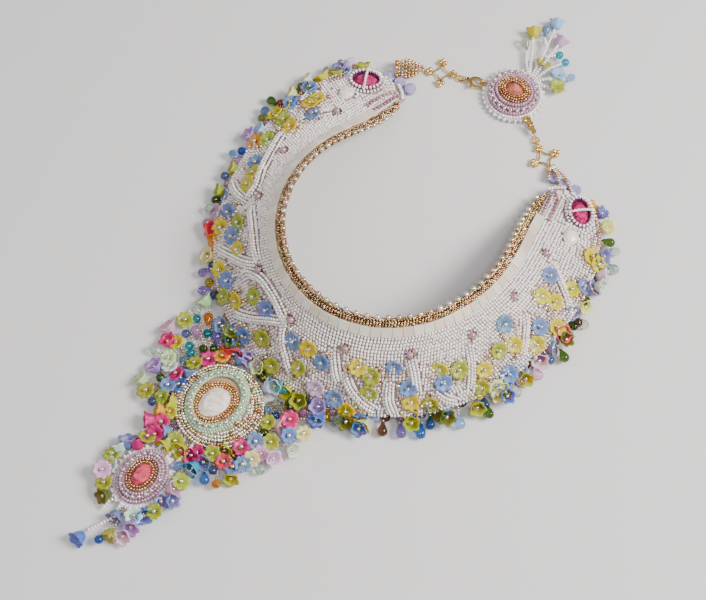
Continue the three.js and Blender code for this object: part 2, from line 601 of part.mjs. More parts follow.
// Flowers from a medallion's centre: [x, y, height of the stem end]. They lean outwards. Each wreath keeps to its own
// side of the centre.
const WREATHS = [
  { name: 'pendant_flowers_left', centre: PENDANT, keep: [-60, -0.2], ring: [21.6, 30], arc: [110, 264],
    places: [[-28, 20, 2], [-33, 10, 2], [-39, 13, 2], [-22, 11, 4], [-34, 5, 3], [-25, 1, 4], [-36, -3, 2],
      [-26, -6, 3], [-24, -12, 4], [-31, -15, 2], [-21, -17, 3], [-17, -22, 4], [-21, -25, 2], [-7, -25.5, 3]] },
  { name: 'pendant_flowers_right', centre: PENDANT, keep: [0.2, 60], ring: [21.6, 30], arc: [276, 430],
    places: [[4.5, -25, 3], [12, -19, 4], [19, -21, 4], [27, -25, 2], [27, -17, 3], [19.5, -9.5, 4], [29.5, -7, 3],
      [31, 0, 3], [19, 4, 4], [28, 8.5, 2], [35, 8, 3], [31.5, 14, 2], [40, 13, 2], [41, 21, 2]] },
  { name: 'drop_flowers_left', centre: DROP, keep: [-60, -0.2], ring: [14.6, 17.4], arc: [118, 236],
    places: [[-10.5, 15.5, 2], [-16, 8.5, 1], [-17, 0, 2], [-16.5, -9, 1], [-11, -13.5, 2]] },
  { name: 'drop_flowers_right', centre: DROP, keep: [0.2, 60], ring: [14.6, 17.4], arc: [-52, 58],
    places: [[16, 15.5, 2], [16.5, 8.5, 2], [19, -1, 1], [16.5, -10, 1], [9.5, -15.5, 2]] },
];

function wreath({ centre, ring, arc, places }) {
  const middle = new THREE.Vector3(centre.x, centre.y, 0);
  const at = (angle, radius, z) => new THREE.Vector3(
    centre.x + Math.cos(angle * DEG) * radius, centre.y + Math.sin(angle * DEG) * radius, z,
  );
  const carrier = loft(evenly(arc[0], arc[1], 10).map((angle) => [
    at(angle, ring[0], 0.5), at(angle, ring[1], 0.5), at(angle, ring[1], 2.8), at(angle, ring[0], 2.8),
  ]));
  const parts = [carrier];
  places.forEach(([x, y, z]) => {
    const stem = new THREE.Vector3(centre.x + x, centre.y + y, z);
    const away = stem.clone().sub(middle).setZ(0).normalize();
    parts.push(aimed(flower(3.8, 3.6), stem, stem.clone().addScaledVector(UP, 3).addScaledVector(away, 1)));
    const edge = middle.clone().addScaledVector(away, ring[1] - 1).setZ(1.8);
    const beyond = Math.hypot(x, y) - ring[1];
    if (beyond > 0) parts.push(threadBar(edge, stem.clone().setZ(1.8), 2, 1.6));
  });
  return joined(parts);
}

// A box of space between two x positions from a centre.
const slab = (from, to) => toSolid(new THREE.BoxGeometry(to - from, 500, 100).translate((from + to) / 2, 0, 50.2));

const medallionRoom = (centre, radiusX, radiusY) => toSolid(
  new THREE.CylinderGeometry(1, 1, 60, 28).rotateX(Math.PI / 2).scale(radiusX + GAP, radiusY + GAP, 1)
    .translate(centre.x, centre.y, 0),
);

const frontFringeRoom = joined([
  ...FRINGES[2].hangs.map(([angle, kind, beyond]) => (kind === 'ball'
    ? ball(3.2 + GAP * 1.5).translate(...rimPoint(angle, beyond + 0.6, 3.6).toArray())
    : aimed(flower(3.7 + GAP * 2, 4.5 + beyond * 0.6 + GAP * 5), rimPoint(angle, 0.4, 2.1), rimPoint(angle, 6, 5.4)))),
  loft(evenly(-24, 36, 12).map((angle) => [
    rimPoint(angle, -8, -1), rimPoint(angle, FRINGE_CARRIER.outer + GAP, -1),
    rimPoint(angle, FRINGE_CARRIER.outer + GAP, 14), rimPoint(angle, -8, 14),
  ])),
]);

WREATHS.forEach((row) => {
  const { name, centre, keep } = row;
  const own = centre === PENDANT
    ? medallionRoom(centre, PENDANT.radius * 0.97, PENDANT.radius * 0.97)
    : medallionRoom(centre, DROP.radiusX * 0.97, DROP.radiusY * 0.97);
  let solid = wreath(row).subtract(own).intersect(slab(centre.x + keep[0], centre.x + keep[1]));
  if (centre === PENDANT) solid = solid.subtract(frontFringeRoom);
  addMesh(name, toGeometry(solid), 'yellowGreen');
});

// ---------- bead link and tassels ----------

// Strands of beads as bars between [x, y, z] points, with what hangs on them.
function strands(lines, hangs) {
  const point = (p) => new THREE.Vector3(...p);
  const bars = lines.flatMap((line) => line.slice(1).map((p, i) => threadBar(point(line[i]), point(p), 1.9, 1.7)));
  const bells = hangs.map(({ kind, from, to, size }) => {
    const shape = kind === 'bell' ? flower(size, point(from).distanceTo(point(to))) : drop(
      point(from).distanceTo(point(to)), size,
    );
    return aimed(shape, point(from), point(to));
  });
  return joined([...bars, ...bells]);
}

const linkSolid = strands(
  [[[-27.2, -177.4, 1.6], [-27.2, -184, 1.6]], [[-22.8, -177, 1.6], [-22.8, -184, 1.6]],
    [[-18.6, -177.4, 1.6], [-19.4, -184, 1.6]], [[-28, -180.5, 1.6], [-18, -180.5, 1.6]]],
  [],
);

const dropTassel = strands(
  [[[-31.5, -216, 1.6], [-31.5, -223, 1.6], [-26, -224, 1.6], [-26.8, -229, 1.6], [-31.5, -237, 1.6]],
    [[-26, -216, 1.6], [-25.5, -223, 1.6], [-21, -224, 1.6], [-16.5, -226, 1.6]], [[-25.5, -223, 1.6], [-23.6, -233, 1.6]]],
  [
    { kind: 'bell', from: [-27.6, -220, 2.4], to: [-24, -223, 4.2], size: 3.6 },
    { kind: 'bell', from: [-20.5, -222.6, 2.4], to: [-15.6, -220.4, 4.2], size: 3.6 },
    { kind: 'bell', from: [-20, -225, 2.4], to: [-15.2, -227.6, 4.4], size: 3.8 },
    { kind: 'bell', from: [-24, -226.4, 2.4], to: [-20.4, -230.4, 4.2], size: 3.4 },
    { kind: 'drop', from: [-24.2, -231, 2.2], to: [-23.2, -235.6, 2.2], size: 1.7 },
    { kind: 'bell', from: [-31.3, -236, 2.4], to: [-32.4, -244.5, 4.6], size: 4.2 },
  ],
);

const backTassel = strands(
  [[[2.6, 93.6, 1.6], [-4, 101, 1.6], [-9.4, 109, 1.6], [-11, 113, 2]], [[0, 98, 1.6], [-3, 110, 1.6], [-5.4, 121, 1.6]],
    [[-3, 110, 1.6], [0.4, 118, 1.6]], [[2.6, 93.6, 1.6], [5.2, 104, 1.6], [6.2, 111, 2]],
    [[2.6, 93.6, 1.6], [9, 98, 1.6], [12.4, 100, 2]], [[2.6, 93.6, 1.6], [2, 100, 1.6]], [[9, 98, 1.6], [14, 103, 1.6]]],
  [
    { kind: 'bell', from: [-10.4, 111, 2.6], to: [-14, 118.4, 5], size: 4 },
    { kind: 'drop', from: [-7.4, 105.4, 2.9], to: [-13.8, 110.4, 2.9], size: 2.4 },
    { kind: 'bell', from: [-5.2, 120, 2.6], to: [-6.2, 130, 5], size: 4 },
    { kind: 'bell', from: [0.2, 117, 2.6], to: [3.2, 123, 4.6], size: 3.6 },
    { kind: 'drop', from: [5.6, 107, 3], to: [7.2, 115.6, 3], size: 3 },
    { kind: 'bell', from: [1.8, 98.4, 3], to: [2.6, 103.6, 5], size: 3 },
    { kind: 'drop', from: [8.8, 100, 3], to: [15, 103.8, 3], size: 2.4 },
    { kind: 'drop', from: [13.6, 102.6, 3.2], to: [20.4, 106.2, 3.2], size: 2.9 },
    { kind: 'bell', from: [11.4, 99, 2.6], to: [16.8, 94.6, 4.8], size: 3.6 },
  ],
);

const dropRoom = medallionRoom(DROP, DROP.radiusX * 0.97, DROP.radiusY * 0.97);
const pendantRoom = medallionRoom(PENDANT, PENDANT.radius * 0.97, PENDANT.radius * 0.97);
const backRoom = medallionRoom(BACK, BACK.radius * 0.97, BACK.radius * 0.97);
const wreathRoom = WREATHS.map(wreath).reduce((a, b) => a.add(b));
addMesh('drop_link', toGeometry(linkSolid.subtract(dropRoom).subtract(pendantRoom).subtract(wreathRoom)), 'white');
addMesh('drop_tassel', toGeometry(dropTassel.subtract(dropRoom).subtract(wreathRoom)), 'blue');
addMesh('back_tassel', toGeometry(backTassel.subtract(backRoom)), 'white');

// ---------- origin ----------

const size = new THREE.Box3().setFromObject(necklace);
const baseCentre = size.getCenter(new THREE.Vector3()).setZ(size.min.z);
necklace.position.sub(baseCentre);

export default necklace;
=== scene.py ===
"""Looks of a bead-embroidered bib necklace lying on a plain pale floor.

Lengths in this script are millimetres from the neck's centre on the floor, +Y towards the clasps and +Z up.
strew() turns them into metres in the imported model's frame.
"""

import math
import random

import bmesh
import bpy
import numpy as np
from mathutils import Matrix, Vector


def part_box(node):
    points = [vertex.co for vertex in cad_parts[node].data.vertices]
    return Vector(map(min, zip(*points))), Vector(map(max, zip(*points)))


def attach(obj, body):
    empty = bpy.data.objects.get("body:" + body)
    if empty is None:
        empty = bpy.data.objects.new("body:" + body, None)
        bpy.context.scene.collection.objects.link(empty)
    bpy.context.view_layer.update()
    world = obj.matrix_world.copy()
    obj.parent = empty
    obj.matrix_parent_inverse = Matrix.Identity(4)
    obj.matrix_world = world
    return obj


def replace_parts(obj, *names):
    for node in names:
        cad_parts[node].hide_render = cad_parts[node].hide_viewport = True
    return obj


random.seed(7)
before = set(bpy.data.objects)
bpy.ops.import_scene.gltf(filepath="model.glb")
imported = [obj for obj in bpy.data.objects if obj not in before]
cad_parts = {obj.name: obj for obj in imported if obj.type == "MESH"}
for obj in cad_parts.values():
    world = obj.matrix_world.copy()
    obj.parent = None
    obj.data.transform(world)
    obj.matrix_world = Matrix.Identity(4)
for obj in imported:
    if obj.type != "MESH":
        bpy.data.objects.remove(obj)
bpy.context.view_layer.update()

UP = Vector((0, 0, 1))
collar_low, collar_high = (corner * 1000 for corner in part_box("collar_base"))
FRONT_RIM = 122.5  # radius of the collar's rim at the front
NECK_CENTRE = Vector(((collar_low.x + collar_high.x) / 2, collar_low.y + FRONT_RIM, 0))

# ---------- camera, floor and light ----------
# The camera looks down steeply from the front, a little to the right. Plain pale floor, a strong light from the
# right, a broad weak one from the left and a small one that makes glints.

TARGET = (Vector((-0.5, -66, 0)) + NECK_CENTRE) * 0.001
CAMERA_TURN, CAMERA_RISE, CAMERA_DISTANCE = math.radians(36), math.radians(66.5), 0.75


def away_from_target(turn, rise, distance):
    flat = math.cos(rise)
    return TARGET + Vector((math.sin(turn) * flat, -math.cos(turn) * flat, math.sin(rise))) * distance


camera = bpy.data.objects.new("camera", bpy.data.cameras.new("camera"))
camera.data.lens, camera.data.sensor_width, camera.data.clip_start = 76.5, 36, 0.01
camera.location = away_from_target(CAMERA_TURN, CAMERA_RISE, CAMERA_DISTANCE)
camera.rotation_euler = (TARGET - camera.location).to_track_quat("-Z", "Y").to_euler()
bpy.context.scene.collection.objects.link(camera)
bpy.context.scene.camera = camera


def linear(colour):
    """Linear colour from a six-digit sRGB string."""
    parts = [int(colour[i:i + 2], 16) / 255 for i in (0, 2, 4)]
    return tuple(c / 12.92 if c <= 0.04045 else ((c + 0.055) / 1.055) ** 2.4 for c in parts)


def plain_material(name, colour, roughness, **inputs):
    """A material with one colour and a set of Principled inputs, each given by its name with _ for a space."""
    material = bpy.data.materials.new(name)
    material.use_nodes = True
    shader = material.node_tree.nodes["Principled BSDF"]
    shader.inputs["Base Color"].default_value = (*linear(colour), 1)
    shader.inputs["Roughness"].default_value = roughness
    for key, value in inputs.items():
        shader.inputs[key.replace("_", " ")].default_value = value
    return material


floor_mesh = bpy.data.meshes.new("floor")
floor_shape = bmesh.new()
bmesh.ops.create_grid(floor_shape, x_segments=1, y_segments=1, size=3)
floor_shape.to_mesh(floor_mesh)
floor = bpy.data.objects.new("floor", floor_mesh)
floor.data.materials.append(plain_material("floor_paper", "D6D5D6", 0.8))
bpy.context.scene.collection.objects.link(floor)


def softbox(name, turn, rise, width, power, colour):
    """A square area light facing the necklace, its turn measured like the camera's."""
    light = bpy.data.objects.new(name, bpy.data.lights.new(name, "AREA"))
    light.data.size, light.data.energy, light.data.color = width, power, colour
    light.location = away_from_target(math.radians(turn), math.radians(rise), 1.3)
    light.rotation_euler = (TARGET - light.location).to_track_quat("-Z", "Y").to_euler()
    bpy.context.scene.collection.objects.link(light)


softbox("key_light", 120, 46, 0.5, 29, (1, 0.97, 0.93))
softbox("fill_light", -40, 50, 1.2, 5, (1, 0.98, 0.97))
softbox("small_light", 60, 70, 0.12, 4, (1, 0.98, 0.96))
world = bpy.data.worlds.new("studio")
world.use_nodes = True
world.node_tree.nodes["Background"].inputs["Color"].default_value = (0.86, 0.85, 0.85, 1)
world.node_tree.nodes["Background"].inputs["Strength"].default_value = 0.43
bpy.context.scene.world = world

# ---------- white seed beads on the collar ----------
# Round glass seed beads, pearly white, sewn side by side over the whole face. Rows follow the collar, each
# offset from the next by about half a bead.

# Angle from the front: neck radius, neck height, rim radius. Both sides are alike.
COLLAR = {0: (92.2, 41.9, FRONT_RIM), 15: (89.6, 41.3, 120.9), 30: (82.7, 39.5, 116.2),
          45: (73.8, 36.5, 109.2), 60: (65.0, 32.4, 101.8), 75: (57.9, 27.1, 96.0), 90: (53.3, 20.9, 92.4),
          105: (52.1, 14.2, 89.5), 120: (55.4, 8.2, 84.0), 135: (63.0, 5.0, 74.0)}
COLLAR_STEP, COLLAR_LAST, COLLAR_END, RIM_HEIGHT = 15, 135, 133, 5.5
LAST_SECTION = 2 * COLLAR_LAST // COLLAR_STEP
COLLAR_END_LINE = 46  # the ends are cut straight across, this far behind the neck's centre


def spline(a, b, c, d, part):
    """A place between b and c on a smooth curve through four."""
    start, end = (c - a) / 2, (d - b) / 2
    return (b + start * part + (3 * c - 3 * b - 2 * start - end) * part ** 2
            + (2 * b - 2 * c + start + end) * part ** 3)


def section_at(step):
    """The section that many steps from one end, or a straight run on past the last one."""
    if 0 <= step <= LAST_SECTION:
        return Vector(COLLAR[abs(step * COLLAR_STEP - COLLAR_LAST)])
    near, far = (0, 1) if step < 0 else (LAST_SECTION, LAST_SECTION - 1)
    return 2 * section_at(near) - section_at(far)


def collar_section(angle):
    """Neck radius, neck height and rim radius at an angle, on a smooth curve through the sections."""
    place = min(max((angle + COLLAR_LAST) / COLLAR_STEP, 0), LAST_SECTION - 1e-6)
    row = int(place)
    neck, height, rim = spline(*(section_at(i) for i in range(row - 1, row + 3)), place - row)
    facing = -math.cos(math.radians(angle))
    return neck, height, min(rim, COLLAR_END_LINE / facing) if facing > 0.1 else rim


def outward(angle):
    return Vector((-math.sin(math.radians(angle)), -math.cos(math.radians(angle)), 0))


def on_collar(angle, across, lift=0.0):
    """A place on the collar's face and its directions: round the collar, down the slope and out of the face."""
    neck, height, rim = collar_section(angle)
    slant = math.hypot(rim - neck, height - RIM_HEIGHT)
    run, fall = (rim - neck) / slant, (height - RIM_HEIGHT) / slant
    away = outward(angle)
    down, out = away * run - UP * fall, away * fall + UP * run
    return away * neck + UP * height + down * (slant * across) + out * lift, down.cross(out), down, out


def collar_width(angle):
    neck, height, rim = collar_section(angle)
    return math.hypot(rim - neck, height - RIM_HEIGHT)


def on_row(angle, mm, lift=0.0):
    """A place some mm down from the neck edge, the row's way, down, out, and how many mm a degree is."""
    point, _, down, out = on_collar(angle, mm / collar_width(angle), lift)
    ahead = (on_collar(angle + 0.4, mm / collar_width(angle + 0.4), lift)[0]
             - on_collar(angle - 0.4, mm / collar_width(angle - 0.4), lift)[0])
    return point, ahead.normalized(), down, out, ahead.length / 0.8


def rim_point(angle, out, height):
    radius = collar_section(angle)[2] + out
    return Vector((-math.sin(math.radians(angle)) * radius, -math.cos(math.radians(angle)) * radius, height))


def seat(at, along, up, size=1.0, spin=0.0):
    """A place with its Z along one direction and its X as near as can be to another; size scales it."""
    z = along.normalized()
    y = z.cross(up).normalized()
    turn = Matrix((y.cross(z), y, z)).transposed() @ Matrix.Rotation(spin, 3, "Z")
    stretch = Matrix.Diagonal(size if isinstance(size, Vector) else Vector((size,) * 3))
    return Matrix.Translation(at) @ (turn @ stretch).to_4x4()


def wobble(direction, amount):
    """The direction, tilted by a random small amount."""
    return (direction + Vector([random.gauss(0, amount) for _ in range(3)])).normalized()


def turned(profile, sides):
    """A shape turned about Z from (radius, height) rows."""
    shape = bmesh.new()
    line = [shape.verts.new((radius, 0, height)) for radius, height in profile]
    edges = [shape.edges.new(pair) for pair in zip(line, line[1:])]
    bmesh.ops.spin(shape, geom=line + edges, cent=(0, 0, 0), axis=UP, angle=math.tau, steps=sides,
                   use_merge=True)
    bmesh.ops.remove_doubles(shape, verts=shape.verts, dist=1e-3)
    bmesh.ops.recalc_face_normals(shape, faces=shape.faces)
    return shape


def strew(name, shape, places, material, tints=None, body="root", smooth=True):
    """One mesh of many copies of a shape, each at its own place and, if given, with its own colour."""
    shape.verts.index_update()
    points = np.array([v.co for v in shape.verts])
    corners = np.array([v.index for f in shape.faces for v in f.verts])
    starts = np.cumsum([0] + [len(f.verts) for f in shape.faces])[:-1]
    turns = np.array([[list(row) for row in place] for place in places])
    count = len(places)
    spots = np.einsum("nij,vj->nvi", turns[:, :3, :3], points) + turns[:, None, :3, 3] + np.array(NECK_CENTRE)
    each = np.arange(count)[:, None]
    mesh = bpy.data.meshes.new(name)
    mesh.vertices.add(count * len(points))
    mesh.vertices.foreach_set("co", (spots * 0.001).ravel())
    mesh.loops.add(count * len(corners))
    mesh.loops.foreach_set("vertex_index", (corners + each * len(points)).ravel())
    mesh.polygons.add(count * len(starts))
    mesh.polygons.foreach_set("loop_start", (starts + each * len(corners)).ravel())
    mesh.polygons.foreach_set("use_smooth", [smooth] * (count * len(starts)))
    if tints is not None:
        colours = np.ones((count, len(points), 4))
        colours[:, :, :3] = np.array(tints)[:, None, :]
        mesh.color_attributes.new("tint", "FLOAT_COLOR", "POINT").data.foreach_set("color", colours.ravel())
    mesh.update(calc_edges=True)
    piece = bpy.data.objects.new(name, mesh)
    piece.data.materials.append(material)
    bpy.context.scene.collection.objects.link(piece)
    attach(piece, body)
    return piece


def tinted_material(name, roughness, spread=0.0, **inputs):
    """A material that takes its colour from each copy's tint, with a faint cloudiness if spread is given."""
    material = plain_material(name, "FFFFFF", roughness, **inputs)
    nodes, links = material.node_tree.nodes, material.node_tree.links
    tint = nodes.new("ShaderNodeVertexColor")
    tint.layer_name = "tint"
    source = tint.outputs["Color"]
    if spread:
        cloud, mix = nodes.new("ShaderNodeTexNoise"), nodes.new("ShaderNodeMix")
        place = nodes.new("ShaderNodeTexCoord")
        cloud.inputs["Scale"].default_value, cloud.inputs["Detail"].default_value = 260, 2
        mix.data_type, mix.blend_type = "RGBA", "MULTIPLY"
        mix.inputs["Factor"].default_value = spread
        links.new(place.outputs["Object"], cloud.inputs["Vector"])
        links.new(source, mix.inputs[6])
        links.new(cloud.outputs["Fac"], mix.inputs[7])
        source = mix.outputs[2]
    links.new(source, nodes["Principled BSDF"].inputs["Base Color"])
    return material


def shades(colours, count, spread=0.04):
    """Colours for that many copies, drawn at random and each a little lighter or darker."""
    picked = [linear(random.choice(colours)) for _ in range(count)]
    return [[max(0, c * random.gauss(1, spread)) for c in colour] for colour in picked]


BEAD = turned([(0, -0.64), (0.74, -0.57), (0.95, 0), (0.74, 0.57), (0, 0.64)], 8)


def threaded(name, places, material, colours, spread=0.04, shape=BEAD):
    """One piece of many beads, each with a colour drawn from a few."""
    return strew(name, shape, places, material, shades(colours, len(places), spread))


def distance_to(spots, place):
    """From a place to the nearest spot of an array."""
    return np.min(np.linalg.norm(spots - np.array(place), axis=1))


BEAD_PITCH, ROW_PITCH, BEAD_LIFT = 1.6, 1.78, 0.75
TILE_DEPTH, TILE_END = 5.4, 113
white_pearl = tinted_material("white_pearl", 0.22, Coat_Weight=0.6, Coat_Roughness=0.08,
                              Subsurface_Weight=0.15, Subsurface_Scale=0.001)
WHITES = ["FAF2EE", "F2EAEA", "FFFAF6", "ECE2E4", "F8EEEA"]

# Raised ridges: the (angle, across) places that each runs through, most of them from a pearl towards the rim.
RIDGES = [[(99, 0.44), (92, 0.54), (86, 0.66)], [(80, 0.7), (70.5, 0.62), (61, 0.56), (53.5, 0.5), (50, 0.6)],
          [(50, 0.6), (54, 0.78), (59, 0.96)], [(46, 0.48), (38.5, 0.38), (32, 0.34), (26.5, 0.34)],
          [(25.5, 0.36), (29, 0.52), (34, 0.72), (38.5, 0.92)],
          [(26.5, 0.62), (25, 0.48), (20.5, 0.35), (15, 0.31), (10.5, 0.34), (7, 0.4)],
          [(7, 0.4), (11, 0.52), (15.5, 0.7), (20.5, 0.88)], [(7, 0.4), (5, 0.58), (2, 0.72), (-1, 0.86)],
          [(-8, 0.36), (-9.5, 0.5), (-11.5, 0.68)], [(-12.5, 0.56), (-15, 0.72), (-18, 0.84), (-21.5, 0.94)],
          [(-28.5, 0.34), (-30, 0.52), (-31, 0.72)], [(-24, 0.62), (-24.5, 0.8), (-26, 0.96)],
          [(-46, 0.42), (-46, 0.64), (-45, 0.88)], [(-35.5, 0.76), (-38.5, 0.88), (-41.5, 0.97)],
          [(-69, 0.54), (-65.5, 0.7), (-62.5, 0.86)], [(-92, 0.44), (-88, 0.64), (-84, 0.9)]]


def collar_line(knots, step):
    """Places every step mm along a line through (angle, across) knots, as (angle, across)."""
    dense = []
    for (a0, t0), (a1, t1) in zip(knots, knots[1:]):
        dense += [(a0 + (a1 - a0) * i / 24, t0 + (t1 - t0) * i / 24) for i in range(24)]
    dense.append(knots[-1])
    found, travelled, last = [dense[0]], 0.0, on_collar(*dense[0])[0]
    for spot in dense[1:]:
        here = on_collar(*spot)[0]
        travelled += (here - last).length
        last = here
        if travelled >= step:
            found.append(spot)
            travelled -= step
    return found


# Where the lucite flowers sit: a colour letter, the angle and hundredths across.
COLLAR_FLOWERS = {
    "left":
        "Y 98.5 75, Y 95 74, B 91 55, B 92 97, B 100.3 98, Y 82.1 65, G 84.5 82, G 75.1 80, O 74.2 95, "
        "B 64.9 72, Y 60.2 65, Y 56 65, B 48.3 82, G 42.5 61, Y 44.6 90, B 39.4 69",
    "front":
        "Y 34 59, Y 32.7 90, B 28.5 82, G 25.7 93, Y 22.2 78, G 18.7 53, B 13.5 48, B 14.5 92, G 10 74, "
        "G 4.4 90, B 2.3 50, Y -1.9 47, G -1.8 74, B -6.5 54, P -7.2 85, B -12.1 88, Y -15.4 48, "
        "G -19.4 55, G -19.6 73, Y -15.6 98, O -18.2 103, B -24.6 43, B -28.8 68, Y -30.1 84",
    "right":
        "G -34.9 89, Y -37.3 53, G -42.7 62, B -38 70, Y -49.7 74, G -48.3 90, L -52.3 100, B -60 44, "
        "G -55.3 64, Y -61.1 71, B -56.7 95, Y -67.9 88, B -71.4 77, Y -76.3 93, Y -78.4 55, Y -81.2 72, "
        "B -87 50, Y -89.1 82, B -92.4 93, Y -103.6 90, Y -102.2 100",
}


def chart(text):
    """Rows of a chart: a colour letter and the numbers after it."""
    return [(row.split()[0], *map(float, row.split()[1:])) for row in text.split(", ")]


flower_spots = np.array([on_collar(angle, across / 100)[0] for text in COLLAR_FLOWERS.values()
                         for _, angle, across in chart(text)])
STONES = [(119, 0.72, 8.6), (-119.5, 0.72, 8.6), (109, 0.6, 4.6), (-107.8, 0.58, 4.6)]
stone_spots = [(on_collar(angle, across)[0], reach) for angle, across, reach in STONES]


def smoothed(knots):
    """More knots on a smooth curve through the given ones."""
    spots = [Vector(k) for k in knots]
    spots = [2 * spots[0] - spots[1]] + spots + [2 * spots[-1] - spots[-2]]
    fours = zip(spots, spots[1:], spots[2:], spots[3:])
    return [tuple(spline(*four, i / 4)) for four in fours for i in range(4)] + [tuple(knots[-1])]


ridge_beads, ridge_feet = [], []
for knots in RIDGES:
    line = collar_line(smoothed(knots), 1.62)
    for i, spot in enumerate(line):
        rise = min(1, 0.25 + i / 3.5, 0.35 + (len(line) - 1 - i) / 3.5)
        point, round_way, down, out = on_collar(*spot)
        ahead = on_collar(*line[min(i + 1, len(line) - 1)])[0] - on_collar(*line[max(i - 1, 0)])[0]
        side = out.cross(ahead).normalized()
        for row, (beside, height) in enumerate(((-2.3, 0.8), (-0.8, 2.2), (0.8, 2.2), (2.3, 0.8))):
            slope = side + ahead.normalized() * (0.45 if row % 2 else -0.45)
            foot = point + side * beside
            at = foot + ahead.normalized() * (0.8 * (row % 2)) + out * (height * rise + random.gauss(0.5, 0.12))
            if distance_to(flower_spots, foot) > 3.4:
                ridge_feet.append(foot)
                ridge_beads.append(seat(at, wobble(slope, 0.15), out, random.uniform(0.88, 0.98)))
ridge_array = np.array(ridge_feet)

# Beads lie looser in the hollows round the flowers, and some of them there are blush coloured.
BLUSH = ["EADAD2", "DECAC0", "F0E6E0", "CFB6AA"]
BLUSH_SHARE, HOLLOW_REACH, RIDGE_REACH, END_MARGIN = 0.42, 7.5, 1.35, 3
paving = []
widest = max(collar_width(a) for a in range(-120, 121, 10))
for row in range(int(widest / ROW_PITCH) + 1):
    angle = -COLLAR_END + END_MARGIN + (row % 2) * 0.5
    while angle < COLLAR_END - END_MARGIN:
        width = collar_width(angle)
        covered = TILE_DEPTH if abs(angle) < TILE_END else 1.0
        rows_here = max(int((width - covered - 0.6) / ROW_PITCH), 1)
        if row > rows_here:
            angle += 1.0
            continue
        from_neck = covered + 1.0 + row * (width - covered - 1.2) / rows_here
        point, row_way, down, out, degree = on_row(angle, from_neck)
        under_ridge = distance_to(ridge_array, point) < RIDGE_REACH
        under_stone = any((point - spot).length < reach for spot, reach in stone_spots)
        if not under_ridge and not under_stone:
            in_hollow = row > 6 and distance_to(flower_spots, point) < HOLLOW_REACH
            loose = 0.28 if in_hollow else 0.13
            at = point + out * (BEAD_LIFT + random.gauss(0, loose)) + down * random.gauss(0, 0.1)
            tint = shades(BLUSH if in_hollow and random.random() < BLUSH_SHARE else WHITES, 1)[0]
            paving.append((angle, tint, seat(at, wobble(row_way, loose), out, random.uniform(0.9, 0.98))))
        angle += BEAD_PITCH / degree
for side, low, high in (("right", -180, -35), ("front", -35, 35), ("left", 35, 180)):
    own = [(place, tint) for angle, tint, place in paving if low <= angle < high]
    strew(f"collar_beads_{side}", BEAD, [place for place, tint in own], white_pearl,
          [tint for place, tint in own])
threaded("ridge_beads", ridge_beads, white_pearl, WHITES)
backing = plain_material("backing_felt", "AE9C9A", 0.95)

# The stiff wall that the beads are sewn to: pale backing felt, seen only between beads. It keeps its own shape.
collar_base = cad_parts["collar_base"]
collar_base.data.materials.clear()
collar_base.data.materials.append(backing)

# ---------- square tile beads ----------
# Flat two-hole glass tiles with a satin ivory lustre, sewn in one row along the neck edge with hardly a gap
# between them.

TILE_PITCH = 5.1
TILE = bmesh.new()
bmesh.ops.create_cube(TILE, size=1, matrix=Matrix.Diagonal((1.6, 4.95, 5.0, 1)))
bmesh.ops.bevel(TILE, geom=TILE.edges[:], offset=0.22, segments=2, profile=0.5, affect="EDGES", material=-1)
tiles = []
angle = -TILE_END + 1
while angle < TILE_END:
    point, row_way, down, out, degree = on_row(angle, 2.9, 1.0)
    tiles.append(seat(point, wobble(row_way, 0.006), wobble(out, 0.012)))
    angle += TILE_PITCH / degree
ivory = tinted_material("ivory_tile", 0.25, 0.2, Coat_Weight=0.7, Coat_Roughness=0.1, Sheen_Weight=0.2,
                        Subsurface_Weight=0.2, Subsurface_Scale=0.002)
tile_row = strew("tile_row", TILE, tiles, ivory,
                 shades(["E2D6C6", "DDD0BE", "E8DED0", "D8CAB8"], len(tiles), 0.015), smooth=False)
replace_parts(tile_row, "neck_tiles")

# ---------- gold edging and picots ----------
# Herringbone of small gold seed beads over the raised neck edge, with champagne pearls along its inner side and
# small gold beads between them.

gold_bead = tinted_material("gold_bead", 0.2, Metallic=1.0)
GOLDS = ["CDAA7E", "A5835E", "EAD4B0", "8E6C50", "D8B88E"]
EDGE_BEAD, EDGING_END, PICOT_END, PICOT_PITCH = 0.8, 129, 127.0, 5.1


def edging_width(angle):
    """The edging narrows from the front to the collar's ends."""
    return 3.3 - 0.8 * abs(angle) / EDGING_END


edging = []
for row, (part, lift) in enumerate(((0.0, 0.4), (0.34, 0.8), (0.68, 0.85), (1.02, 0.4))):
    angle = -EDGING_END + 0.4 * row
    while angle < EDGING_END:
        point, row_way, down, out, degree = on_row(angle, random.gauss(-part * edging_width(angle), 0.16),
                                                   random.gauss(lift, 0.14))
        slope = row_way + down * (0.8 if row % 2 else -0.8)
        edging.append(seat(point, wobble(slope, 0.25), out, EDGE_BEAD))
        angle += 1.45 / degree
threaded("edging_beads", edging, gold_bead, GOLDS, 0.08)
PEARL = bmesh.new()
bmesh.ops.create_icosphere(PEARL, subdivisions=2, radius=1)
picots, angle = [], -PICOT_END
while angle < PICOT_END:
    for shift, beyond, size in ((0.0, 1.7, 1.4), (1.7, 0.7, 0.8), (2.6, 0.5, 0.85), (3.5, 0.7, 0.8)):
        point, row_way, down, out, degree = on_row(angle, -edging_width(angle) - beyond, 0.3)
        picots.append((point + row_way * shift, wobble(row_way, 0.1), out, size))
    angle += PICOT_PITCH / degree
champagne_bead = tinted_material("champagne_bead", 0.16, Metallic=0.85)
CHAMPAGNES = ["EADBC6", "DCC6A6", "F2E8DA", "D0B48E"]
big = [seat(*place) for place in picots if place[3] > 1]
small = [seat(*place) for place in picots if place[3] < 1]
threaded("edging_picots", big, champagne_bead, CHAMPAGNES, 0.08, shape=PEARL)
threaded("edging_picot_beads", small, gold_bead, GOLDS, 0.08)
neck_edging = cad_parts["neck_edging"]
neck_edging.data.materials.clear()
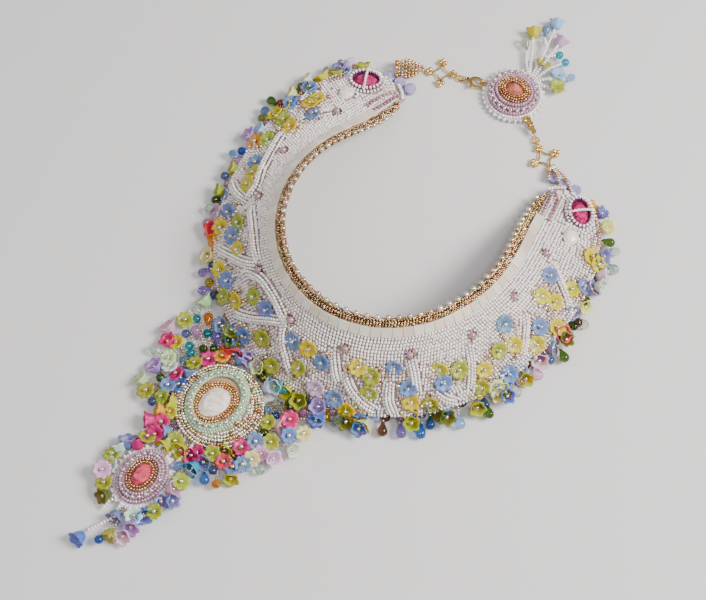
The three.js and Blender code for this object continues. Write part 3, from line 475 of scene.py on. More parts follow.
neck_edging.data.materials.append(plain_material("edging_thread", "6A4E38", 0.85))

# ---------- pearls with bronze rings ----------
# Mauve pearls near the neck edge, where the ridges begin, each sewn down in a ring of nine small bronze seed
# beads.

BRONZES = ["9C7A6C", "8A6A5E", "B09080"]
ACCENTS = [(98.7, 0.37), (69.5, 0.42), (48.5, 0.38), (23.3, 0.34), (5.7, 0.32), (-11, 0.30), (-28.5, 0.31),
           (-47.8, 0.325), (-67.9, 0.29), (-93.8, 0.33)]
pearls, pearl_rings = [], []
for spot in ACCENTS:
    point, round_way, down, out = on_collar(*spot, 2.3)
    pearls.append(seat(point, out, down, 1.7))
    for i in range(9):
        turn = math.tau * i / 9
        way = round_way * math.cos(turn) + down * math.sin(turn)
        pearl_rings.append(seat(point + way * 2.35 - out * 0.9, out.cross(way), out, 0.78))
mauve_pearl = tinted_material("mauve_pearl", 0.18, Metallic=0.25, Coat_Weight=0.8, Coat_Roughness=0.05)
threaded("accent_pearls", pearls, mauve_pearl, ["B08C9C", "A5808E"], shape=PEARL)
threaded("accent_rings", pearl_rings, champagne_bead, BRONZES, 0.1)

# ---------- flower beads on the collar ----------
# Frosted lucite flowers, sewn flat on the face through a small shiny bead, with champagne seed beads strewn
# round them.

# Y yellow, G yellow-green, B blue-grey, O orange, P pink-lilac, L pale yellow, M magenta, R red, K sky blue,
# A lavender, T teal, D olive, C clear, Z brown, W pale green, U deep blue, Q pale pink.
FLOWER_COLOURS = {"Y": "D8C212", "G": "A2AE2A", "B": "6A86BC", "O": "EFA020", "P": "DDB0D2", "L": "EEEA9C",
                  "M": "E0187C", "R": "E4304C", "K": "9CC2F0", "A": "AC90DA", "T": "1CA6C4", "D": "4E6E1C",
                  "C": "DCE6DC", "Z": "6E4426", "W": "CBE6A8", "U": "3C78C8", "Q": "F0C4DE"}
COLLAR_FLOWER_NODES = {"left": ["flowers_left_back", "flowers_left_side", "flowers_left_front"],
                       "front": ["flowers_front"],
                       "right": ["flowers_right_front", "flowers_right_side", "flowers_right_back"]}


def tint_of(letter):
    return shades([FLOWER_COLOURS[letter]], 1, 0.06)[0]


def petalled(profile, petals, notch, wall, sides):
    """A flower bead of (radius, height) rows from its hole to its edge, pressed in between its petals."""
    under = [(radius, height - wall) for radius, height in reversed(profile)]
    shape = turned(profile + under + profile[:1], sides)
    edge = profile[-1][0]
    for vert in shape.verts:
        turn, part = math.atan2(vert.co.y, vert.co.x), vert.co.xy.length / edge
        valley = (1 - abs(math.cos(petals * turn / 2))) ** 1.3 * part ** 1.6
        vert.co.xy *= 1 - notch * valley
        vert.co.z -= 0.6 * valley
    return shape


DAISY = petalled([(0.5, 0.3), (2.0, 0.8), (3.4, 1.7), (4.6, 2.0)], 8, 0.2, 0.7, 32)
lucite = tinted_material("frosted_lucite", 0.45, Subsurface_Weight=0.5, Subsurface_Scale=0.003,
                         Transmission_Weight=0.2, Coat_Weight=0.1, Coat_Roughness=0.35)
silver_bead = tinted_material("silver_bead", 0.12, Metallic=0.9)
SILVERS = ["F0E8DC", "D8CFC6", "E8D2A8"]

centres, champagne_spots = [], []
for side, text in COLLAR_FLOWERS.items():
    rows = chart(text)
    places, tints = [], []
    for letter, angle, across in rows:
        point, round_way, down, out = on_collar(angle, across / 100, 1.1)
        facing = wobble(out, 0.13)
        size = random.uniform(0.95, 1.08)
        places.append(seat(point, facing, down, size, random.uniform(0, 1)))
        tints.append(tint_of(letter))
        centres.append(seat(point + facing * 2.3, facing, down, 1.05))
        champagne_spots += [(angle, across / 100)] * 9
    flowers = strew(f"collar_flowers_{side}", DAISY, places, lucite, tints)
    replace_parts(flowers, *COLLAR_FLOWER_NODES[side])
threaded("collar_flower_centres", centres, silver_bead, SILVERS, 0.08)
scattered = []
for angle, across in champagne_spots:
    turn, reach = random.uniform(0, math.tau), random.uniform(4.4, 6.8)
    point, round_way, down, out = on_collar(angle, across)
    width = collar_width(angle)
    angle += math.degrees(math.cos(turn) * reach / point.xy.length)
    across = min(across + math.sin(turn) * reach / width, 0.99)
    point, round_way, down, out = on_collar(angle, across, 1.9)
    off_petals = distance_to(flower_spots, point) > 4.5
    if across > 0.4 and off_petals and distance_to(ridge_array, point) > 1.8:
        scattered.append(seat(point, wobble(out, 0.5), down, random.choice((0.8, 0.9, 1.25))))
threaded("collar_scattered_beads", scattered, champagne_bead,
         ["E2CCC0", "D2B8A4", "F0E4DA", "BE9C84"], 0.08)

# ---------- fringe round the rim ----------
# Lucite bells, glass drops and round beads hung close together from the rim on short threads of seed beads.
# The chart gives a colour, the angle, how far beyond the rim in mm, and the kind: b bell, d drop, o ball.

FRINGE = {
    "left_back":
        "Q 117 6 b, G 111 1.5 b, C 110 4 d, L 96 3 b, R 91 4 o, D 90 7 d, G 83.5 4 d, A 76 5 b, U 71 2 d, "
        "K 69 5 d",
    "left_front":
        "G 64.6 2 b, G 57 4 b, U 55 0 b, P 50 1 b, Q 48 4 d, R 46 3 b, O 43 1 b, O 40 3 d, A 35 5 d, "
        "A 30 6 d",
    "front":
        "B 20 6 b, A 10 3 b, R 14 8 b, G 4.7 4 o, Y -1.4 3 b, Z -3.3 0 o, G -5 5 b, Q -7 7 o, A -9.5 4 b, "
        "U -10 9 b, C -14 5 d, D -16 6 b",
    "right_front":
        "L -20.5 5 b, U -19.5 8 b, Z -24.6 0 o, Z -24.2 5 d, A -28 6 d, G -30.6 5 b, U -33 7 d, U -35 4 d, "
        "D -38.3 5 b, K -41.8 7 d, Z -43 -1 o, G -46.2 5 b, U -48.5 3 d, D -49 8 d, L -52 4 b, "
        "U -53.9 8 b",
    "right_back":
        "C -57 6 d, G -60.9 5 b, Z -63 -1 o, Q -66.7 3 b, B -71 2 b, D -73.5 8 d, D -76 6 b, R -76.5 3 b, "
        "D -81.7 2 d, Z -83 4 o, C -84 5 d, L -88 3 b, B -93 2 b, Z -97 0 o, Q -99.2 4 b, C -104 7 d, "
        "B -106 3 b, C -109 7 d, D -111.8 4 d, L -116.2 5 b, U -120.4 4 b",
}
SPANS = {"left_back": (68, 121), "left_front": (28, 68), "front": (-18, 22), "right_front": (-54, -18),
         "right_back": (-122, -54)}
BELL = petalled([(0.5, 0.2), (2.2, 0.7), (3.2, 2.6), (3.7, 4.4), (4.8, 5.6)], 5, 0.36, 0.6, 25)
DROP = turned([(0, 0), (0.7, 0.3), (1.0, 1.6), (2.1, 3.6), (2.6, 5.2), (2.2, 6.8), (1.1, 7.7), (0, 7.9)], 12)
BALL = bmesh.new()
bmesh.ops.create_icosphere(BALL, subdivisions=3, radius=2.3)
drop_glass = tinted_material("drop_glass", 0.03, Transmission_Weight=0.92, IOR=1.48)
HUNG_KINDS = {"f": ("flowers", DAISY, lucite, "lucite_flowers"), "b": ("bells", BELL, lucite, "lucite_flowers"),
              "d": ("drops", DROP, drop_glass, "fringe_beads"),
              "o": ("balls", BALL, drop_glass, "fringe_beads")}
fringe_threads, fringe_centres = [], []


def hang(name, kinds):
    """Pieces for the flowers, bells, drops and balls of one group; gives back the first."""
    made = []
    for kind, rows in kinds.items():
        if rows:
            label, shape, material, slot = HUNG_KINDS[kind]
            made.append(strew(f"{name}_{label}", shape, [place for place, tint in rows], material,
                              [tint for place, tint in rows]))
    return made[0]


def hung_chart(text):
    """Rows of a chart: a colour letter, two numbers and the kind's letter."""
    rows = [row.split() for row in text.split(", ")]
    return [(letter, float(first), float(second), kind) for letter, first, second, kind in rows]


def fringe_rows(side):
    """The chart's rows, then filler close to the rim wherever the neighbours leave room."""
    rows = hung_chart(FRINGE[side])
    taken = [rim_point(angle, beyond, 0) for _, angle, beyond, _ in rows]
    low, high = SPANS[side]
    for _ in range(int((high - low) * 5)):
        angle, beyond = random.uniform(low, high), random.uniform(-1.5, 5.5)
        spot = rim_point(angle, beyond, 0)
        if min((spot - other).length for other in taken) > 4.4:
            taken.append(spot)
            rows.append((random.choice("GGBBUDDKLYQCAO"), angle, beyond, random.choice("bbbddo")))
    return rows


for side in FRINGE:
    kinds = {kind: [] for kind in HUNG_KINDS}
    for letter, angle, beyond, kind in fringe_rows(side):
        away = outward(angle)
        if kind == "b":
            start = rim_point(angle, beyond - 2.0, 4.0)
            facing = wobble(away * 0.75 + UP * 0.66, 0.22)
            place = seat(start, facing, UP, random.uniform(0.85, 1.0), random.uniform(0, 1))
            fringe_centres.append(seat(start + facing * 3.2, facing, UP, 1.1))
        elif kind == "d":
            start = rim_point(angle, beyond - 2.5, 4.5)
            facing = wobble(away - UP * 0.12, 0.12)
            place = seat(start, facing, UP, random.uniform(0.85, 1.0))
        else:
            start = rim_point(angle, beyond + 0.5, 4.0)
            place = seat(start, UP, away)
        kinds[kind].append((place, tint_of(letter)))
        hook = rim_point(angle, -1.5, 5.5)
        count = max(int((start - hook).length / 1.5), 1)
        fringe_threads += [seat(hook.lerp(start, i / count), start - hook, UP, 0.8) for i in range(count + 1)]
    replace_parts(hang(f"fringe_{side}", kinds), f"fringe_{side}")
threaded("fringe_threads", fringe_threads, champagne_bead, CHAMPAGNES, 0.08)
threaded("fringe_centres", fringe_centres, silver_bead, SILVERS, 0.08)

# ---------- collar ends ----------
# A faceted magenta crystal in an oval bezel of white beads with a strap of beads across it, an oval
# mother-of-pearl cabochon beside it, mauve pearls above it and champagne beads along the rim.


def line_of_beads(knots, pitch, lift, size=0.95):
    """Beads threaded along a line of (angle, across) knots on the collar."""
    spots = collar_line(knots, pitch)
    points = [on_collar(*spot, lift) for spot in spots]
    return [seat(p[0], points[min(i + 1, len(points) - 1)][0] - points[max(i - 1, 0)][0], p[3], size)
            for i, p in enumerate(points)]


def oval_ring(place, radius_x, radius_y, height, pitch, size=0.95, standing=0.0):
    """Beads threaded in an oval ring round a placed centre; height is a number or a function of the place."""
    steps, made = 720, []
    oval = [Vector((math.cos(math.tau * i / steps) * radius_x, math.sin(math.tau * i / steps) * radius_y, 0))
            for i in range(steps)]
    length = sum((oval[i] - oval[i - 1]).length for i in range(steps))
    pitch, walked = length / max(round(length / pitch), 3), 0.0
    for i, spot in enumerate(oval):
        walked += (spot - oval[i - 1]).length
        if walked >= pitch * 0.9999:
            walked -= pitch
            here, ahead = spot.copy(), oval[(i + 1) % steps] - oval[i - 1]
            here.z = height(here) if callable(height) else height
            up = UP + Vector((here.x, here.y, 0)).normalized() * standing
            made.append(place @ seat(here, ahead, up, size))
    return made


purple_bead = tinted_material("purple_bead", 0.15, Metallic=0.3, Coat_Weight=0.6)
end_white, end_purple, end_mauve, end_border = [], [], [], []
for sign, crystal_angle, turn in ((1, 119, -35), (-1, -119.5, 14)):
    point, round_way, down, out = on_collar(crystal_angle, 0.72, 1.05)
    place = seat(point, out, round_way) @ Matrix.Rotation(math.radians(turn), 4, "Z")
    end_purple += oval_ring(place, 7.5, 5.0, 2.5, 1.15, 0.62)
    end_white += oval_ring(place, 8.2, 5.8, 3.0, 1.95, 0.95)
    end_white += oval_ring(place, 9.6, 7.1, 1.2, 1.8, 0.95)
    for i in range(-8, 9):
        reach = i * 0.85
        at = place @ Vector((0.3 * (i % 2), reach, 1.8 + 3.2 * math.sqrt(1 - (reach / 7.2) ** 2)))
        end_white.append(seat(at, place.to_3x3() @ Vector((1, 0.4, 0)), out, 0.8))
    end_mauve += line_of_beads([(sign * 113, 0.24), (sign * 120, 0.27), (sign * 129, 0.34)], 2.3, 2.3, 1.0)
    end_mauve += line_of_beads([(sign * 115, 0.1), (sign * 122, 0.11), (sign * 130, 0.16)], 2.3, 2.3, 1.0)
    end_white += line_of_beads([(sign * 131.5, 0.02), (sign * 132, 0.4), (sign * 131.5, 0.98)], 1.6, 1.4, 1.1)
    end_border += line_of_beads([(sign * 106, 0.99), (sign * 116, 1.0), (sign * 126, 0.99)], 1.7, 1.5, 1.05)
    end_border += line_of_beads([(sign * 108, 0.9), (sign * 112, 0.93)], 1.7, 2.2, 1.0)
threaded("end_white_beads", end_white, white_pearl, WHITES)
threaded("end_purple_beads", end_purple, purple_bead, ["8E3E74", "A05A92", "7A3468"], 0.1)
threaded("end_mauve_beads", end_mauve, mauve_pearl,
         ["A87482", "946474", "C298A2"], 0.08, shape=PEARL)
threaded("end_border_beads", end_border, champagne_bead,
         ["E2C4C6", "D2A4AC", "EADBC6"], 0.1)


def cad_look(names, material):
    """Gives CAD nodes a material; their shape stays."""
    for name in names:
        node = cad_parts[name]
        node.data.materials.clear()
        node.data.materials.append(material)


def stone_material(name, low_colour, high_colour, scale, roughness, stretch=(1, 1, 1), **inputs):
    """A polished stone whose colour drifts between two tones in soft bands."""
    material = plain_material(name, low_colour, roughness, **inputs)
    nodes, links = material.node_tree.nodes, material.node_tree.links
    place, squeeze = nodes.new("ShaderNodeTexCoord"), nodes.new("ShaderNodeMapping")
    cloud, ramp = nodes.new("ShaderNodeTexNoise"), nodes.new("ShaderNodeValToRGB")
    squeeze.inputs["Scale"].default_value = stretch
    cloud.inputs["Scale"].default_value, cloud.inputs["Detail"].default_value = scale, 4
    cloud.inputs["Distortion"].default_value = 1.2
    ramp.color_ramp.elements[0].color, ramp.color_ramp.elements[0].position = (*linear(low_colour), 1), 0.38
    ramp.color_ramp.elements[1].color, ramp.color_ramp.elements[1].position = (*linear(high_colour), 1), 0.62
    links.new(place.outputs["Object"], squeeze.inputs["Vector"])
    links.new(squeeze.outputs["Vector"], cloud.inputs["Vector"])
    links.new(cloud.outputs["Fac"], ramp.inputs["Fac"])
    links.new(ramp.outputs["Color"], nodes["Principled BSDF"].inputs["Base Color"])
    return material


crystal = stone_material("magenta_crystal", "A81858", "E8408C", 300, 0.05, Transmission_Weight=0.25,
                         Coat_Weight=1.0, Coat_Roughness=0.02)
mother_of_pearl = stone_material("mother_of_pearl", "D8CBB6", "F4EEE2", 160, 0.2, (1, 2.2, 1), Coat_Weight=0.8,
                                 Coat_Roughness=0.05, Sheen_Weight=0.2)
lilac = stone_material("lilac_disc", "9E96CC", "C4BEE4", 200, 0.3, Transmission_Weight=0.3,
                       Subsurface_Weight=0.3, Subsurface_Scale=0.002)
purple_thread = plain_material("purple_thread", "6A3660", 0.6)
cad_look(["crystal_left", "crystal_right"], crystal)
cad_look(["crystal_bezel_left", "crystal_bezel_right"], purple_thread)
cad_look(["oval_cabochon_left", "oval_cabochon_right"], mother_of_pearl)
cad_look([f"disc_{side}_{i}" for side in ("left", "right") for i in (1, 2, 3)], lilac)

# ---------- gold caps, links, rings and clasps ----------
# A cone of gold seed beads at the left end of the collar and three loops of them at the right; gold-plated
# filigree links, jump rings and lobster clasps.

polished_gold = stone_material("polished_gold", "E2BC6A", "F4D68E", 180, 0.18, Metallic=1.0)
GOLD_PIECES = ("filigree", "jump_ring", "clasp_body", "clasp_lever")
cad_look([f"{piece}_{side}" for piece in GOLD_PIECES for side in ("left", "right")], polished_gold)
cad_look(["clasp_ring_left", "clasp_ring_right"], polished_gold)
cap_beads = []
CAP_START, CAP_WAY = Vector((-57.6, 56.2, 0)), Vector((13.0, 9.0, 0)).normalized()
for row, (along, radius) in enumerate(((-1.2, 3.4), (0.6, 4.4), (2.4, 4.9), (4.2, 4.7), (6.0, 4.1), (7.8, 3.3),
                                       (9.6, 2.4), (11.4, 1.4))):
    side_way, count = CAP_WAY.cross(UP), max(round(math.tau * radius / 2.0), 3)
    for i in range(count):
        turn = math.tau * (i + row / 2) / count
        way = side_way * math.cos(turn) + UP * math.sin(turn)
        at = (CAP_START + CAP_WAY * along + side_way * math.cos(turn) * radius
              + UP * (4.6 + math.sin(turn) * radius * 0.75))
        cap_beads.append(seat(at, CAP_WAY.cross(way), way, 0.92))
for side_way, height in ((-4.2, 3.2), (-1.6, 6.4), (1.4, 6.6), (4.2, 3.4)):
    at = CAP_START - CAP_WAY * 2.4 + CAP_WAY.cross(UP) * side_way + UP * (height + 1)
    cap_beads.append(seat(at, CAP_WAY, UP, 1.5))
cap = threaded("cap_beads", cap_beads, gold_bead, ["E8C070", "D9A85C", "E8C8C0", "F0D090"], 0.1)
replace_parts(cap, "bead_cap_left")


def strand(points, pitch=1.55):
    """Beads threaded through a line of (x, y, z) points."""
    knots = [Vector(p) for p in points]
    made = []
    for start, end in zip(knots, knots[1:]):
        count = max(round((end - start).length / pitch), 1)
        made += [seat(start.lerp(end, i / count), wobble(end - start, 0.02), UP, 0.98) for i in range(count)]
    return made


loops = strand([(38.9, 53.2, 3), (40, 51, 4.2), (41.5, 48, 4.6), (43, 46, 3.6)])
loops += strand([(39.3, 54.2, 3), (44, 53.5, 5), (49, 51.5, 5.6), (54, 48.5, 4.6), (57, 46, 3.4)])
loops += strand([(39.1, 53.7, 3), (42.5, 52, 5.2), (46, 49.6, 5.8), (49.5, 46, 3.8)])
loop_strands = threaded("loop_beads", loops, gold_bead, ["F2E6DA", "E0B890", "D9A85C"], 0.08)
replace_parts(loop_strands, "bead_cap_right")

# Three balls at each corner of the two filigree links.
filigree_balls = []
for x, y, first in ((-39.6, 68.2, 28), (33.4, 57.2, 63)):
    for corner in range(4):
        turn = math.radians(first + 90 * corner)
        for k in (-1, 0, 1):
            side_turn = turn + k * math.pi / 1.8
            at = Vector((x + math.cos(turn) * 6.5 + math.cos(side_turn) * 1.35,
                         y + math.sin(turn) * 6.5 + math.sin(side_turn) * 1.35, 1.6))
            filigree_balls.append(seat(at, UP, CAP_WAY, 1.3))
strew("filigree_balls", PEARL, filigree_balls, polished_gold)

# Small round links stand on edge between the filigree, the rings and the clasps.
LINK = bmesh.new()
LINK_RADIUS, WIRE, WIRE_SIDES = 1.5, 0.36, 6
hoop = [LINK.verts.new((LINK_RADIUS + WIRE * math.cos(math.tau * i / WIRE_SIDES), 0,
                        WIRE * math.sin(math.tau * i / WIRE_SIDES))) for i in range(WIRE_SIDES)]
hoop_edges = [LINK.edges.new((hoop[i - 1], hoop[i])) for i in range(WIRE_SIDES)]
bmesh.ops.spin(LINK, geom=hoop + hoop_edges, cent=(0, 0, 0), axis=UP, angle=math.tau, steps=16, use_merge=True)
bmesh.ops.recalc_face_normals(LINK, faces=LINK.faces)
links = [seat(Vector((x, y, 2.4)), Vector((-math.sin(t), math.cos(t), 0)), UP)
         for x, y, t in ((-32.2, 71.1, 0.3), (-27.2, 72.2, 0.3), (25.7, 61.9, -0.6), (21.9, 64.9, -0.6))]
strew("chain_links", LINK, links, polished_gold)

# ---------- medallions ----------
# Each is a cabochon in a peyote bezel: rows of gold beads, then mint or mauve beads with silver pearls, then a
# silver border on the pendant or picots on the two others. Sewn on stiff felt.


def domed(radius, height):
    """The height of a medallion's face at a place: flat in the middle, falling to its rim."""
    rows = ((0.45, height), (0.7, 0.85 * height), (0.97, 0.55 * height), (1.15, 0.2 * height))

    def at(place):
        part = min(math.hypot(place.x / radius[0], place.y / radius[1]), 1.149)
        for (p0, z0), (p1, z1) in zip(rows, rows[1:]):
            if part <= p1:
                return z0 + (z1 - z0) * max(part - p0, 0) / (p1 - p0) + 0.7
        return rows[-1][1] + 0.7

    return at


BACK, PENDANT, DROP_CENTRE = (Matrix.Translation(spot) for spot in
                              (Vector((-0.8, 79, 0)), Vector((-18.6, -150.6, 0)), Vector((-26.6, -199.6, 0))))
PENDANT_OVAL = PENDANT @ Matrix.Translation((-1.9, 1.1, 0))
PENDANT_STONE = PENDANT @ (Matrix.Translation((-2, -1, 0)) @ Matrix.Rotation(math.radians(-14), 4, "Z"))
gold_rows, mint_rows, silver_rows, mauve_rows, border_rows, picot_rows = [], [], [], [], [], []
pendant_face = domed((21.2, 21.2), 7.6)
back_face = domed((13.5, 13.5), 7.2)
drop_face = domed((11.8, 14.8), 6.4)


def uneven_face(place):
    return pendant_face(place) + random.uniform(-0.2, 0.7)


gold_rows += oval_ring(PENDANT_STONE, 7.3, 9.3, 8.9, 1.4, 0.85)
gold_rows += oval_ring(PENDANT_STONE, 8.7, 10.6, 8.2, 1.4, 0.85)
gold_rows += [p for p in oval_ring(PENDANT_STONE, 10.0, 11.9, 7.9, 1.45, 0.85)
              if (p.translation - PENDANT.translation).y > -4]
for radius_x, radius_y in ((11.2, 13.6), (12.7, 15.6)):
    mint_rows += oval_ring(PENDANT_OVAL, radius_x, radius_y, lambda p: pendant_face(p) + 0.4, 1.4, 1.08)
silver_rows += oval_ring(PENDANT_OVAL, 12.0, 14.6, lambda p: pendant_face(p) + 1.5, 3.3, 1.25)
mint_rows += oval_ring(PENDANT_OVAL, 13.8, 16.9, lambda p: pendant_face(p) + 0.1, 1.45, 1.0)
for radius in (21.0, 19.4, 17.8, 16.2, 14.6, 13.0):
    for place in oval_ring(PENDANT, radius, radius, uneven_face, 1.5, 1.1):
        inside = PENDANT_OVAL.inverted() @ place.translation
        if math.hypot(inside.x / 14.9, inside.y / 18.0) > 1:
            border_rows.append(place @ Matrix.Rotation(random.uniform(-0.7, 0.7), 4, "X"))

gold_rows += oval_ring(BACK, 5.6, 4.4, 8.6, 1.35, 0.8)
gold_rows += oval_ring(BACK, 6.9, 5.7, 8.2, 1.35, 0.8)
gold_rows += oval_ring(BACK, 8.2, 7.0, 7.8, 1.4, 0.8)
for radius, size in ((9.6, 1.05), (11.25, 1.1), (12.9, 1.1)):
    mauve_rows += oval_ring(BACK, radius, radius - (13 - radius) * 0.25, back_face, 1.42, size)
silver_rows += oval_ring(BACK, 12.1, 12.0, lambda p: back_face(p) + 1.1, 3.4, 1.1)
for radius, height in ((14.2, 3.0), (14.9, 1.6), (15.9, 2.1)):
    picot_rows += oval_ring(BACK, radius, radius, height, 1.5 if radius < 15 else 2.9, 1.15)

gold_rows += oval_ring(DROP_CENTRE, 4.9, 6.7, 8.0, 1.35, 0.8)
gold_rows += oval_ring(DROP_CENTRE, 6.3, 8.2, 7.5, 1.35, 0.8)
for radius_x, radius_y in ((7.7, 9.8), (9.1, 11.6), (10.6, 13.4)):
    mauve_rows += oval_ring(DROP_CENTRE, radius_x, radius_y, drop_face, 1.4, 1.06)
silver_rows += oval_ring(DROP_CENTRE, 9.0, 11.5, lambda p: drop_face(p) + 1.1, 3.2, 1.1)
for radius_x, radius_y, pitch in ((11.9, 14.7, 1.5), (12.5, 15.4, 1.6), (13.5, 16.4, 2.9)):
    picot_rows += oval_ring(DROP_CENTRE, radius_x, radius_y, 2.4, pitch, 1.12)

mint_bead = tinted_material("mint_bead", 0.3, Coat_Weight=0.5, Subsurface_Weight=0.2, Subsurface_Scale=0.001)
threaded("medallion_gold_beads", gold_rows, gold_bead,
         ["E6B47C", "D8A468", "F2D4A4", "C4905C"], 0.08)
threaded("pendant_mint_beads", mint_rows, mint_bead, ["A9C8A6", "B8D2B2", "98BA98"], 0.05)
silver_pearls = [place @ Matrix.Scale(0.85, 4) for place in silver_rows]
threaded("medallion_silver_pearls", silver_pearls, silver_bead,
         ["F2ECE2", "E6DFD8"], 0.05, shape=PEARL)
threaded("medallion_mauve_beads", mauve_rows, mauve_pearl,
         ["BE92A6", "AE8296", "CCA8B8", "B898B4"], 0.07)
threaded("pendant_border_beads", border_rows, silver_bead,
         ["F4EEE4", "E0CCA8", "FFFCF6", "B49468", "EEE4D4"], 0.14)
threaded("medallion_picots", picot_rows, white_pearl, ["EDE6EA", "E0D8DC", "F4F0EE"])
pendant_thread = plain_material("pendant_thread", "B89A80", 0.6, Metallic=0.3)
cad_look(["pendant_medallion"], pendant_thread)
cad_look(["back_medallion", "drop_medallion"], plain_material("mauve_thread", "94707F", 0.6))
cad_look(["pendant_cabochon"], mother_of_pearl)
salmon_stone = stone_material("salmon_stone", "9A4034", "CC7C66", 220, 0.12, Coat_Weight=1.0,
                              Coat_Roughness=0.03)
red_stone = stone_material("red_stone", "A01C38", "E0566C", 260, 0.08, Coat_Weight=1.0, Coat_Roughness=0.02)
cad_look(["back_cabochon"], salmon_stone)
cad_look(["drop_cabochon"], red_stone)

# ---------- flowers round the pendant and the drop ----------
# The same lucite flowers and drops, sewn close together round both medallions. The chart gives a colour, x, y
# and the kind: f flower facing up, b bell leaning outwards, d drop, o ball.

WREATHS = {
    "pendant_left":
        "W -58.6 -111 b, C -58.2 -117.9 d, T -56 -121 o, O -51.4 -117.9 d, B -44.6 -116.8 f, G -60 -125 f, "
        "T -46.8 -124 o, T -37 -121.4 o, P -23.6 -120.7 f, R -32.1 -124.3 b, O -33.2 -130 f, "
        "D -39.3 -128.6 o, D -43.5 -131.5 o, T -50 -134.3 o, T -47 -137 o, K -47.5 -142 o, M -60 -138.6 b, "
        "P -64 -133 b, G -41.4 -140.7 f, W -53.6 -145.7 f, C -61.4 -145.7 d, M -44.6 -150 f, "
        "A -56.7 -153 b, D -51 -155.7 o, B -45.3 -156.9 f, G -52 -165 f, G -44 -163.1 f, W -58 -162 b, "
        "O -41 -168.9 b, M -35.7 -173.1 f, M -42 -176 b, B -31.4 -175.6 b, G -25 -176.8 f, Y -20 -178.8 b",
    "pendant_right":
        "M -14.3 -177.7 b, M -12 -175 f, B -7.5 -177 b, G -6.4 -171.3 f, R 0.4 -171.4 f, G 7.9 -175.7 b, "
        "B 8.2 -167.1 f, M 2.9 -161 f, B 6 -154.6 f, P 11.7 -157.8 f, Q 18.1 -156.4 b, C 15 -163.5 d, "
        "G 12.2 -150.2 f, D 6.9 -148.4 o, G 5.6 -143.4 f, P 10.8 -141.1 b, B 17.1 -142.9 f, C 23 -147.5 b, "
        "M 12.9 -136.1 f, L 22.8 -137.9 f, B 23.5 -128.6 f, Q 15.7 -129.6 o, D 9.3 -130.6 b, "
        "D 15.6 -122.5 b, A 22 -119.3 b, C 31.4 -122.9 d, O 7.7 -127.3 o, C 1.8 -133.7 d, K -5.6 -129.1 b, "
        "G -10.4 -120.1 f, D -12.4 -125.9 o, B -4.6 -122.4 f, U -2.7 -182.6 d, O 4 -182 o",
    "drop_left":
        "G -36.7 -183.9 f, B -43.1 -190.4 b, G -44.3 -199.7 f, P -43.7 -208.3 f, G -38.6 -213 f, "
        "D -35.5 -217.7 b",
    "drop_right":
        "B -9.9 -184 b, G -10.5 -190.8 f, B -7.6 -200.6 b, G -10.4 -209.7 f, C -18 -216.7 f, "
        "A -15.3 -221.6 b, B -24.6 -222.3 b, Q -15.6 -227.3 b, G -20.7 -230.7 b, U -23.7 -235 o",
}
# Where filler may go: nearest and furthest from the medallion's middle, then the range of angles.
FILLERS = {"pendant_left": [(22.5, 43, 100, 160), (22.5, 33, 160, 262)], "pendant_right": [(22.5, 33, -82, 78)],
           "drop_left": [(15.5, 20, 112, 240)], "drop_right": [(15.5, 20, -62, 56)]}
MEDALLION_REACHES = ((PENDANT, 22), (DROP_CENTRE, 15))
wreath_centres, wreath_threads = [], []


def wreath_rows(group, middle):
    """The chart's rows, then filler close to the medallion wherever there is room clear of the collar."""
    rows = hung_chart(WREATHS[group])
    taken = [Vector((x, y)) for _, x, y, _ in rows]
    for near, far, low, high in FILLERS[group] * 500:
        turn, reach = math.radians(random.uniform(low, high)), random.uniform(near, far)
        spot = Vector((middle.x + math.cos(turn) * reach, middle.y + math.sin(turn) * reach))
        bearing = math.degrees(math.atan2(-spot.x, -spot.y))
        beyond_rim = spot.length - collar_section(bearing)[2]
        clear = min((spot - other).length for other in taken)
        if clear > 4.6 and beyond_rim > 2.0 and all((spot - medallion.translation.xy).length > reach_out
                                                    for medallion, reach_out in MEDALLION_REACHES):
            taken.append(spot)
            rows.append((random.choice("GGBUDMKPQCTAYL"), spot.x, spot.y, random.choice("ffbbdo")))
    return rows


for group in WREATHS:
    middle = (PENDANT if group.startswith("pendant") else DROP_CENTRE).translation
    kinds = {kind: [] for kind in HUNG_KINDS}
    for letter, x, y, kind in wreath_rows(group, middle):
        spot = Vector((x, y, 0))
        away = (spot - middle).normalized()
        if kind == "f":
            at, facing = spot + UP * random.uniform(3.6, 5.5), wobble(UP + away * 0.25, 0.18)
            place = seat(at, facing, away, random.uniform(0.9, 1.02), random.uniform(0, 1))
            wreath_centres.append(seat(at + facing * 2.1, facing, away, 1.15))
        elif kind == "b":
            facing = wobble(away * 0.8 + UP * 0.6, 0.25)
            at = spot - facing * 3 + UP * 4.4
            place = seat(at, facing, away, random.uniform(0.85, 0.98), random.uniform(0, 1))
            wreath_centres.append(seat(at + facing * 3.2, facing, away, 1.15))
        elif kind == "d":
            facing = wobble(away, 0.2)
            at = spot - facing * 3.5 + UP * 3.4
            place = seat(at, facing, UP, 0.95)
        else:
            at = spot + UP * 4.0
            place = seat(at, UP, away, 0.95)
        kinds[kind].append((place, tint_of(letter)))
        edge = middle + away * min((spot - middle).length, 20 if group.startswith("pendant") else 12) + UP * 1.6
        count = max(int((at - edge).length / 1.5), 1)
        wreath_threads += [seat(edge.lerp(at, i / count), at - edge, UP, 0.75) for i in range(count)
                           if (at - edge).length > 2]
    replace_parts(hang(group, kinds), group.replace("_", "_flowers_"))
threaded("wreath_centres", wreath_centres, silver_bead, SILVERS, 0.08)
threaded("wreath_threads", wreath_threads, champagne_bead, CHAMPAGNES, 0.08)

# ---------- bead link and tassels ----------
# White seed-bead strands: three between pendant and drop, two ending in a blue bell below the drop, and a
# spray with flowers and crystals behind the back medallion.

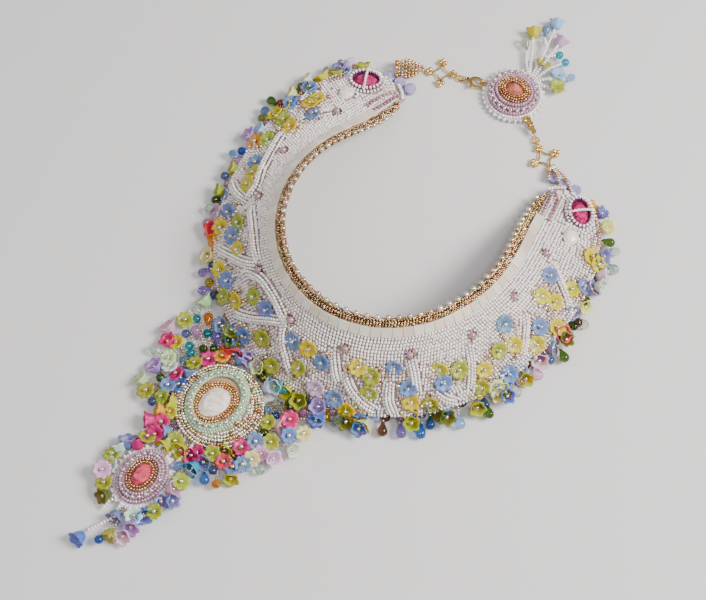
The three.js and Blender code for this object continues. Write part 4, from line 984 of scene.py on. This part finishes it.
link = strand([(-26.5, -170, 3.5), (-27.5, -176, 3), (-29.5, -184, 3.5)])
link += strand([(-22.5, -171, 3.5), (-22, -178, 3.2), (-24, -184.5, 3.5)])
link += strand([(-17.5, -171, 3.5), (-17, -178, 3), (-18.5, -186.5, 3.5)])
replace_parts(threaded("link_strands", link, white_pearl, WHITES), "drop_link")

TASSELS = {
    "back_tassel": ([[(0, 93, 3), (-6, 104, 4), (-12, 115, 4)], [(1, 93, 3), (-1, 107, 4), (-5.2, 126, 4)],
                     [(2, 93, 3), (2, 106, 4.5), (2, 119, 4)], [(3, 93, 3), (6, 102, 4.5), (10, 110, 4)],
                     [(4, 92, 3), (9, 97, 4.5), (15, 102, 4)], [(4, 91, 3), (10, 92, 4), (15, 94, 4)],
                     [(0, 93, 3), (-6, 99, 3), (-10.5, 106, 3)], [(-1, 107, 4), (3, 110, 4.5), (6, 113, 4)],
                     [(-3, 114, 4), (-7, 118, 4)], [(2, 112, 4), (5.5, 115.5, 4)],
                     [(0, 100, 4), (-4, 105, 4.4)], [(9, 97, 4.5), (13, 97.5, 4), (17, 103, 4)]],
                    "Y -13 117 b, C -12 108 d, K -6 129 b, P 2 121 b, T 6 113 o, G 2 103 f, K 12 102 f, "
                    "K 18.5 105 o, G 15.5 95.5 f, T 11 111 o, K -8 121 d"),
    "drop_tassel": ([[(-30, -213, 3), (-32, -218, 3), (-32, -223, 3)],
                     [(-26.5, -214, 3), (-26, -224, 3), (-31.4, -235.5, 3)]], "U -31.9 -240 b"),
}
for group, (lines, text) in TASSELS.items():
    threads = [place for points in lines for place in strand(points)]
    main = threaded(f"{group}_strands", threads, white_pearl, WHITES)
    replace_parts(main, group)
    origin = Vector((2.5, 93.5, 3)) if group == "back_tassel" else Vector((-31, -228, 3))
    kinds = {kind: [] for kind in HUNG_KINDS}
    for letter, x, y, kind in hung_chart(text):
        spot = Vector((x, y, 4))
        away = (spot - origin).normalized()
        facing = {"f": wobble(UP + away * 0.4, 0.15), "b": wobble(away + UP * 0.2, 0.1),
                  "d": away, "o": UP}[kind]
        at = spot if kind in "fo" else spot - facing * 3
        kinds[kind].append((seat(at, facing, UP if kind in "bd" else away, 0.95), tint_of(letter)))
    hang(group, kinds)
